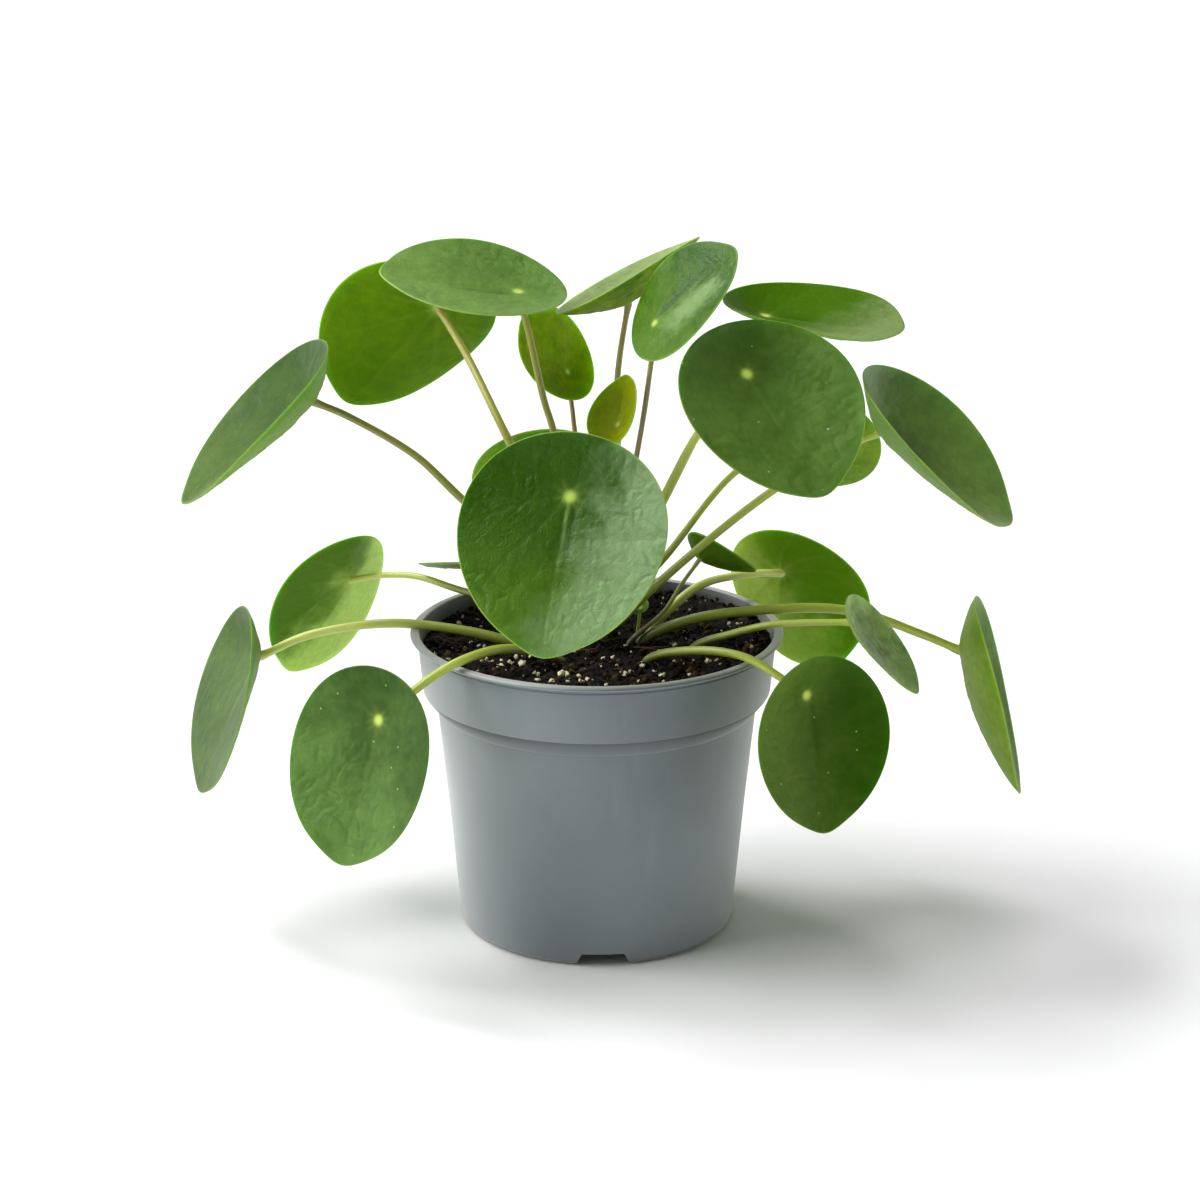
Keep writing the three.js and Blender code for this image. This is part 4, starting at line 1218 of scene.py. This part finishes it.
def loose_object(name, parts, material, tones=None):
    """Many loose grains as one object, which stands for no solid of its own."""
    points, faces, owner = joined(parts)
    marks = {"tone": np.array(tones)[owner]} if tones else None
    seat(make_object(name, points, faces, marks), None, material)


def crumbs_object(material):
    """Loose crumbs of peat and bark on the surface."""
    rng = np.random.default_rng(CRUMB_SEED)
    base = sphere(1)
    parts, tones = [], []
    places = [(x, y, CRUMB_SIZE, 0) for x, y in scattered(rng, CRUMB_COUNT, CRUMB_REACH)]
    for x, y in scattered(rng, EDGE_CRUMB_COUNT, *EDGE_CRUMB_BAND):
        places.append((x, y, EDGE_CRUMB_SIZE, EDGE_CRUMB_HEAP))
    for x, y, largest, heap in places:
        size = rng.uniform(0.45, 1.0) ** 2 * largest
        points, faces = lump(rng, base, size, ((0.6, 1.3), (0.6, 1.2), (0.4, 0.8)), 0.22)
        z = surface_height(x, y) + rng.uniform(-0.2, 0.6 + heap)
        parts.append((points + (x, y, z), faces))
        tones.append(rng.uniform())
    loose_object("peat_crumbs", parts, material, tones)


def fibres_object(material):
    """Curved bits of peat fibre and root that lie on the surface."""
    rng = np.random.default_rng(FIBRE_SEED)
    parts, tones = [], []
    share = np.linspace(-0.5, 0.5, 9)
    for place in scattered(rng, FIBRE_COUNT, FIBRE_CENTRE_REACH):
        length = rng.uniform(4, 15)
        thickness = rng.uniform(0.16, 0.42)
        turn = rng.uniform(0, 2 * np.pi) + rng.uniform(-0.22, 0.22) * share * 8
        way = np.stack([np.cos(turn), np.sin(turn)], axis=1)
        line = place + (length * share)[:, None] * way
        line *= np.minimum(1, FIBRE_END_REACH / np.maximum(np.hypot(*line.T), 1))[:, None]
        arch = rng.uniform(0.1, 1.3)
        z = surface_height(*line.T) + 0.7 + arch * np.cos(share * np.pi) ** 2
        z = z + rng.uniform(-0.3, 0.3, len(line))
        radii = thickness * (1 - 0.5 * np.abs(share) * 2)
        parts.append(tube(np.column_stack([line, z]), radii, FIBRE_SIDES))
        tones.append(rng.uniform())
    loose_object("peat_fibres", parts, material, tones)


def perlite_object(material):
    """White porous grains, the larger ones where the photograph shows them."""
    rng = np.random.default_rng(PERLITE_SEED)
    fine, coarse = sphere(2), sphere(1)
    grains = [(x, y, radius * PERLITE_GROWTH, fine) for x, y, radius in PLACED_PERLITE]
    for x, y, radius in PLACED_PERLITE:
        for _ in range(PERLITE_COMPANIONS):
            turn = rng.uniform(0, 2 * np.pi)
            aside = radius * rng.uniform(0.8, 1.5)
            size = radius * rng.uniform(0.4, 0.75)
            grains.append((x + aside * math.cos(turn), y + aside * math.sin(turn), size, coarse))
    for x, y in scattered(rng, PERLITE_COUNT, PERLITE_REACH):
        grains.append((x, y, 0.28 + 0.75 * rng.uniform() ** 2.5, coarse))
    parts = []
    for x, y, radius, base in grains:
        points, faces = lump(rng, base, radius, ((0.85, 1.5), (0.7, 1.1), (0.55, 0.9)), 0.3)
        parts.append((points + (x, y, surface_height(x, y) + 0.45 + 0.35 * radius), faces))
    loose_object("perlite", parts, material)


# Materials


def leaf_material(leaf, look):
    """Waxy upper face and paler lower face, with veins, net, hub spot and rim line, and painted
    light: a lighter band, painted shade in creases and beside the midrib, and painted highlights.
    """
    s = Shader("leaf_" + leaf.name)
    place = s.attribute("leaf_place", "Vector")
    names = ("vein", "branch", "net", "hub", "near", "rim", "dip", "ridge", "wrinkle", "face")
    vein, branch, net, hub, near, rim, dip, ridge, wrinkle, face = map(s.attribute, names)
    blotch = s.remap(s.noise(place, 0.055, 3, 0.6), 0.36, 0.64)
    mottle = s.remap(s.noise(place, 0.22, 4, 0.62), 0.3, 0.7)
    fine = s.noise(place, 1.6, 3, 0.6)

    # Painted light and sheen: the blade turns lighter across a band
    way, start, end = painted_light_band(leaf, look)
    fade = look.fade[1]
    uneven = s.times(s.plus(s.noise(place, 0.09, 3, 0.6), -0.5), 0.45 * leaf.size[0])
    painted_light_ramp = s.remap(s.plus(s.across(place, (*way, 0)), uneven), start, end)
    patches = s.plus(s.times(blotch, 0.6), s.times(mottle, 0.4))
    shade = s.plus(s.times(patches, 1 - fade), s.times(painted_light_ramp, fade))
    flare = s.times(vein, s.remap(near, 0.5, 0.95))

    upper = s.blend(shade, *look.upper)
    if look.tip:
        toward = s.remap(s.across(place, (0, 1, 0)), 0, 0.75 * leaf.size[0], 0.0, look.tip)
        toward = s.times(toward, s.remap(painted_light_ramp, 0.0, 1.0, 1.0, 0.35))
        upper = s.layered(upper, (toward, (112, 150, 44)))
    upper = s.layered(
        upper,
        (s.times(net, 0.096), (40, 66, 14)),
        (s.times(s.plus(vein, s.times(branch, 0.5)), 0.06), (110, 142, 52)),
        # painted shade in the dip beside the midrib; the pale midrib line after it is partly the
        # midrib's own colour and partly painted highlight
        (s.times(dip, 0.33 * look.fold), (24, 52, 4)),
        (s.times(ridge, look.midline), (150, 178, 112)),
        # painted shade in the creases of the wrinkles
        (s.times(wrinkle, 0.21 * look.relief), (24, 52, 4)),
        (s.times(flare, 0.4), (146, 174, 72)),
        (s.remap(hub, 0.12, 0.95), [min(255, v * look.spot) for v in (200, 224, 104)]),
    )
    lower = s.layered(
        s.blend(shade, *look.lower),
        (s.times(net, 0.12), (70, 104, 12)),
        (s.times(s.plus(vein, s.times(branch, 0.4)), 0.15), (158, 180, 78)),
        (s.times(flare, 0.5), (184, 200, 104)),
        (s.remap(hub, 0.2, 0.8), (196, 210, 122)),
    )

    # Painted highlight: a pale wavy patch on the upper face
    x, y, width, length, strength = look.painted_highlight
    if strength:
        shift = (-x / width, -y / length, 0)
        patch = s.length(s.stretched(place, (1 / width, 1 / length, 0), shift))
        wavy = s.plus(patch, s.times(s.plus(s.noise(place, 0.3, 3, 0.6), -0.5), 1.6))
        upper = s.layered(upper, (s.remap(wavy, 0.2, 1.5, strength, 0.0), (170, 194, 140)))

    face = s.remap(face, 0.3, 0.7)
    colour = s.mix(face, upper, lower)
    colour = s.layered(colour, (s.remap(rim, 0.0, 0.42, look.rim_line, 0.0), (158, 178, 92)))
    if look.specks:
        spots = s.stretched(place, (1, 1, 1), (leaf.size[0] * 10, leaf.facing[0] * 10, 0))
        speck = s.remap(s.cells(spots, 0.17, dimensions="2D"), 0.02, 0.07, 1.0, 0.0)
        least = 0.9 - 0.18 * look.specks
        chosen = s.remap(s.cells(spots, 0.17, "Color", "2D"), least, least + 0.01)
        colour = s.layered(colour, (s.times(speck, chosen), (166, 196, 118)))

    waxy = s.plus(s.times(mottle, 0.12), s.times(fine, 0.10))
    rough = s.plus(s.plus(waxy, look.gloss - 0.1), s.times(face, 0.14))
    pores = s.times(s.noise(place, 3.2, 2), 0.5)
    pucker = s.math("ABSOLUTE", s.plus(s.noise(place, 0.55, 2, 0.55, 0.6), -0.5))
    pucker = s.times(pucker, 8 * look.relief)
    s.bump(s.plus(s.plus(pores, s.times(mottle, 0.8)), pucker), 0.06, 0.7)
    return s.finish(
        colour,
        rough,
        Specular_IOR_Level=look.shine,
        Subsurface_Weight=look.glow,
        Subsurface_Radius=(0.5, 1.0, 0.12),
        Subsurface_Scale=2.5 * MM,
    )


def petiole_material(leaf, look):
    """A fleshy stalk with long faint streaks, lighter on top by painted shade on its underside, and
    with painted shade toward its root.
    """
    s = Shader("stalk_" + leaf.name)
    place = s.attribute("stalk_place", "Vector")
    along, lift = s.attribute("along"), s.attribute("lift")
    streak = s.noise(s.stretched(place, (0.12, 1.2, 1.2)), 1.0, 3, 0.6)
    shade = s.plus(s.times(streak, 0.5), s.times(s.noise(place, 0.14, 2), 0.3))
    colour = s.layered(
        s.blend(s.remap(along, 0.15, 0.9), look.root, look.neck),
        (s.remap(shade, 0.25, 0.6, 0.22, 0.0), (112, 112, 46)),
        # painted shade on the underside of the stalk
        (s.remap(lift, -0.9, 0.6, 0.2, 0.0), (96, 106, 40)),
        # painted shade toward the root, where the stalk meets the soil or the stem
        (s.remap(along, 0.0, 0.34 if leaf.soil else 0.1, 0.85, 0.0), (58, 56, 22)),
    )
    s.bump(streak, 0.08, 0.6)
    return s.finish(
        colour,
        s.plus(s.times(streak, 0.2), 0.24),
        Specular_IOR_Level=0.7,
        Subsurface_Weight=0.5,
        Subsurface_Radius=(0.7, 1.0, 0.25),
        Subsurface_Scale=1.6 * MM,
    )


def stem_material():
    s = Shader("bark")
    place = s.object_place()
    rings = s.noise(s.stretched(place, (120, 120, 700)), 1.0, 4, 0.6)
    patch = s.remap(s.noise(place, 220, 3), 0.35, 0.65)
    colour = s.blend(patch, (92, 84, 48), (122, 116, 66))
    colour = s.layered(colour, (s.remap(rings, 0.45, 0.7), (78, 60, 42)))
    s.bump(rings, 0.35)
    return s.finish(colour, 0.75)


def pot_material():
    """Matt blue-grey plastic with fine moulding grain and light scuffs, and painted light: paler to
    one side and on the lip, with painted shade under the collar, inside the rim and under the foot.
    """
    s = Shader("pot_plastic")
    place = s.object_place()
    height = s.across(place, (0, 0, 1 / MM))
    radius = s.length(s.stretched(place, (1 / MM, 1 / MM, 0)))
    cloud = s.noise(place, 26, 3, 0.6)
    grain = s.noise(place, 900, 3, 0.6)
    drag = s.noise(s.stretched(place, (55, 55, 9)), 1.0, 4, 0.65)
    clouded = s.remap(cloud, 0.3, 0.7)

    # Paler at the upper left and the lower right, as light makes it in the photograph
    leftward = s.remap(s.across(place, (-1 / MM, 0, 0)), -32, 38, -1.0, 1.0)
    painted_light_tilt = s.times(leftward, s.remap(height, 8, 88, -1.0, 1.0))
    duller = s.blend(clouded, (92, 102, 106), (99, 109, 113))
    paler = s.blend(clouded, (115, 125, 129), (122, 132, 136))
    colour = s.mix(s.remap(painted_light_tilt, -1.0, 1.0), duller, paler)

    # Painted shade under the collar, darkest just below its edge
    bevel_start = s.remap(height, SHOULDER_Z - 0.6, SHOULDER_Z + 0.4)
    bevel_end = s.remap(height, COLLAR_BASE_Z, COLLAR_BASE_Z + 0.3, 1.0, 0.0)
    painted_collar_shade = s.times(bevel_start, s.remap(height, 76.5, COLLAR_BASE_Z + 0.1, 0.8, 1.0))
    painted_collar_shade = s.times(painted_collar_shade, bevel_end)
    # Painted shade on the inner wall between the soil and the rim
    slanted = s.plus(radius, s.times(height, -0.092))
    inside = s.times(s.remap(slanted, 48.2, 48.5, 1.0, 0.0), s.remap(height, 88, 90))
    # Painted shade under the pot's floor, inside the foot ring and the notches
    in_foot = s.remap(radius, FOOT_RADIUS - 1.0, FOOT_RADIUS - 0.6, 1.0, 0.0)
    low = s.remap(height, FLOOR_UNDERSIDE_Z - 0.2, FLOOR_UNDERSIDE_Z + 0.4, 1.0, 0.0)
    # Painted highlight along the top of the lip
    painted_lip_highlight = s.remap(height, POT_HEIGHT - 0.5, POT_HEIGHT - 0.2)
    colour = s.layered(
        colour,
        (s.remap(drag, 0.55, 0.8, 0.0, 0.25), (138, 148, 152)),
        (s.remap(grain, 0.4, 0.62, 0.0, 0.10), (104, 114, 119)),
        (s.times(painted_collar_shade, 0.5), (58, 64, 66)),
        # painted light, paler toward the top of the pot
        (s.remap(height, 10, 95, 0.0, 0.08), (152, 160, 162)),
        (s.times(inside, 0.9), (44, 48, 50)),
        (s.times(in_foot, low), (20, 21, 21)),
        # painted contact shadow, darker toward the bottom edge of the foot
        (s.remap(height, 0.8, 2.1, 0.95, 0.0), (24, 26, 27)),
        (s.times(painted_lip_highlight, s.remap(drag, 0.2, 0.7, 0.7, 1.0)), (148, 149, 147)),
    )
    relief = s.times(s.plus(s.times(grain, 0.7), s.times(drag, 0.6)), 0.036)
    bevel = s.math("MINIMUM", s.math("MAXIMUM", height, SHOULDER_Z), COLLAR_BASE_Z)
    bevel = s.plus(bevel, -SHOULDER_Z)
    slant = s.times(bevel, s.plus(s.times(bevel, -0.08), -0.2))
    s.bump(s.plus(relief, slant), 1.0)
    rough = s.plus(s.times(cloud, 0.12), s.plus(s.times(drag, 0.1), 0.36))
    return s.finish(
        colour, rough, Specular_IOR_Level=0.5, Sheen_Weight=0.72, Sheen_Roughness=0.56
    )


def peat_material(name, toned):
    """Dark damp peat, with browner fibres and crumbs where tone says so."""
    s = Shader(name)
    place = s.object_place()
    clod = s.noise(place, 420, 4, 0.65)
    fine = s.noise(place, 1900, 3, 0.7)
    fibre = s.noise(s.stretched(place, (260, 1500, 500)), 1.0, 3, 0.6)
    colour = s.blend(s.remap(clod, 0.35, 0.68), (6, 4, 3), (24, 17, 11))
    colour = s.layered(colour, (s.remap(fibre, 0.6, 0.76, 0.0, 0.6), (78, 58, 32)))
    if toned:
        brown = s.remap(s.attribute("tone"), 0.55, 1.0, 0.0, 0.75)
        colour = s.layered(colour, (brown, (88, 66, 40)))
    s.bump(s.plus(s.times(clod, 0.6), s.times(fine, 0.5)), 0.5)
    return s.finish(colour, s.plus(s.times(fine, 0.3), 0.6), Specular_IOR_Level=0.15)


def perlite_material():
    s = Shader("perlite")
    place = s.object_place()
    dust = s.noise(place, 800, 3)
    colour = s.blend(s.remap(dust, 0.45, 0.75, 0.0, 0.5), (226, 214, 184), (170, 150, 112))
    s.bump(s.cells(place, 1900), 0.25)
    return s.finish(colour, s.plus(s.times(dust, 0.2), 0.7))


def floor_material():
    s = Shader("floor")
    cloud = s.noise(s.object_place(), 1.4, 2)
    colour = s.blend(cloud, [v - 1 for v in FLOOR_COLOUR], FLOOR_COLOUR)
    return s.finish(colour, 0.9, Specular_IOR_Level=0.1)


# Stage


def make_floor():
    half = FLOOR_SIZE / 2
    corners = [(-half, -half, 0), (half, -half, 0), (half, half, 0), (-half, half, 0)]
    floor = make_object("floor", corners, [[0, 1, 2, 3]])
    floor.data.materials.append(floor_material())


def aimed(name, data, place, travel):
    """A camera or light at a place, that looks along its travel."""
    obj = linked(name, data)
    obj.location = place
    obj.rotation_euler = travel.to_track_quat("-Z", "Y").to_euler()
    return obj


def make_sun(name, travel, strength, angle, gloss):
    light = bpy.data.lights.new(name, "SUN")
    light.energy = strength
    light.specular_factor = gloss
    light.angle = math.radians(angle)
    aimed(name, light, Vector(travel).normalized() * -SUN_DISTANCE, Vector(travel))


def make_world():
    """A pale horizon, brightest on the left, and a dim room above it."""
    world = bpy.data.worlds.new("studio")
    world.use_nodes = True
    bpy.context.scene.world = world
    n = Nodes(world.node_tree)
    place = n.add("TexCoord", "Generated")
    x, y, z = (n.add("SeparateXYZ", axis, {0: place}) for axis in "XYZ")
    room = n.remap(y, -0.6, 0.7, WORLD_FRONT, WORLD_BACK)
    beside = n.remap(x, -0.85, 0.0, HORIZON_LEFT, HORIZON_RIGHT)
    horizon = n.times(beside, n.remap(y, -0.9, -0.45, HORIZON_FRONT, 1.0))
    strength = n.add("Mix", 0, {0: n.remap(z, 0.1, 0.4), 2: horizon, 3: room})
    background = n.tree.nodes["Background"]
    n.plug(background, {"Color": (1, 1, 1, 1), "Strength": strength})


def make_camera():
    data = bpy.data.cameras.new("camera")
    data.lens = CAMERA_LENS
    data.sensor_width = SENSOR_WIDTH
    data.clip_start, data.clip_end = CLIP_RANGE
    place, target = Vector(CAMERA_PLACE) * MM, Vector(CAMERA_TARGET) * MM
    bpy.context.scene.camera = aimed("camera", data, place, target - place)


def make_stage():
    view = bpy.context.scene.view_settings
    view.view_transform = "Standard"
    view.look = "None"
    make_floor()
    make_world()
    for sun in SUNS:
        make_sun(*sun)
    make_camera()


# Assembly

make_stage()
pot_object(pot_material())
soil_object(peat_material("peat", False))
loose = peat_material("loose_peat", True)
crumbs_object(loose)
fibres_object(loose)
perlite_object(perlite_material())
stem_object(stem_material())
for number, leaf in enumerate(LEAVES):
    look = LOOKS[leaf.name]
    blade_object(leaf, look, BLADE_SEED + number, leaf_material(leaf, look))
    petiole_object(leaf, PETIOLE_SEED + number, petiole_material(leaf, look))
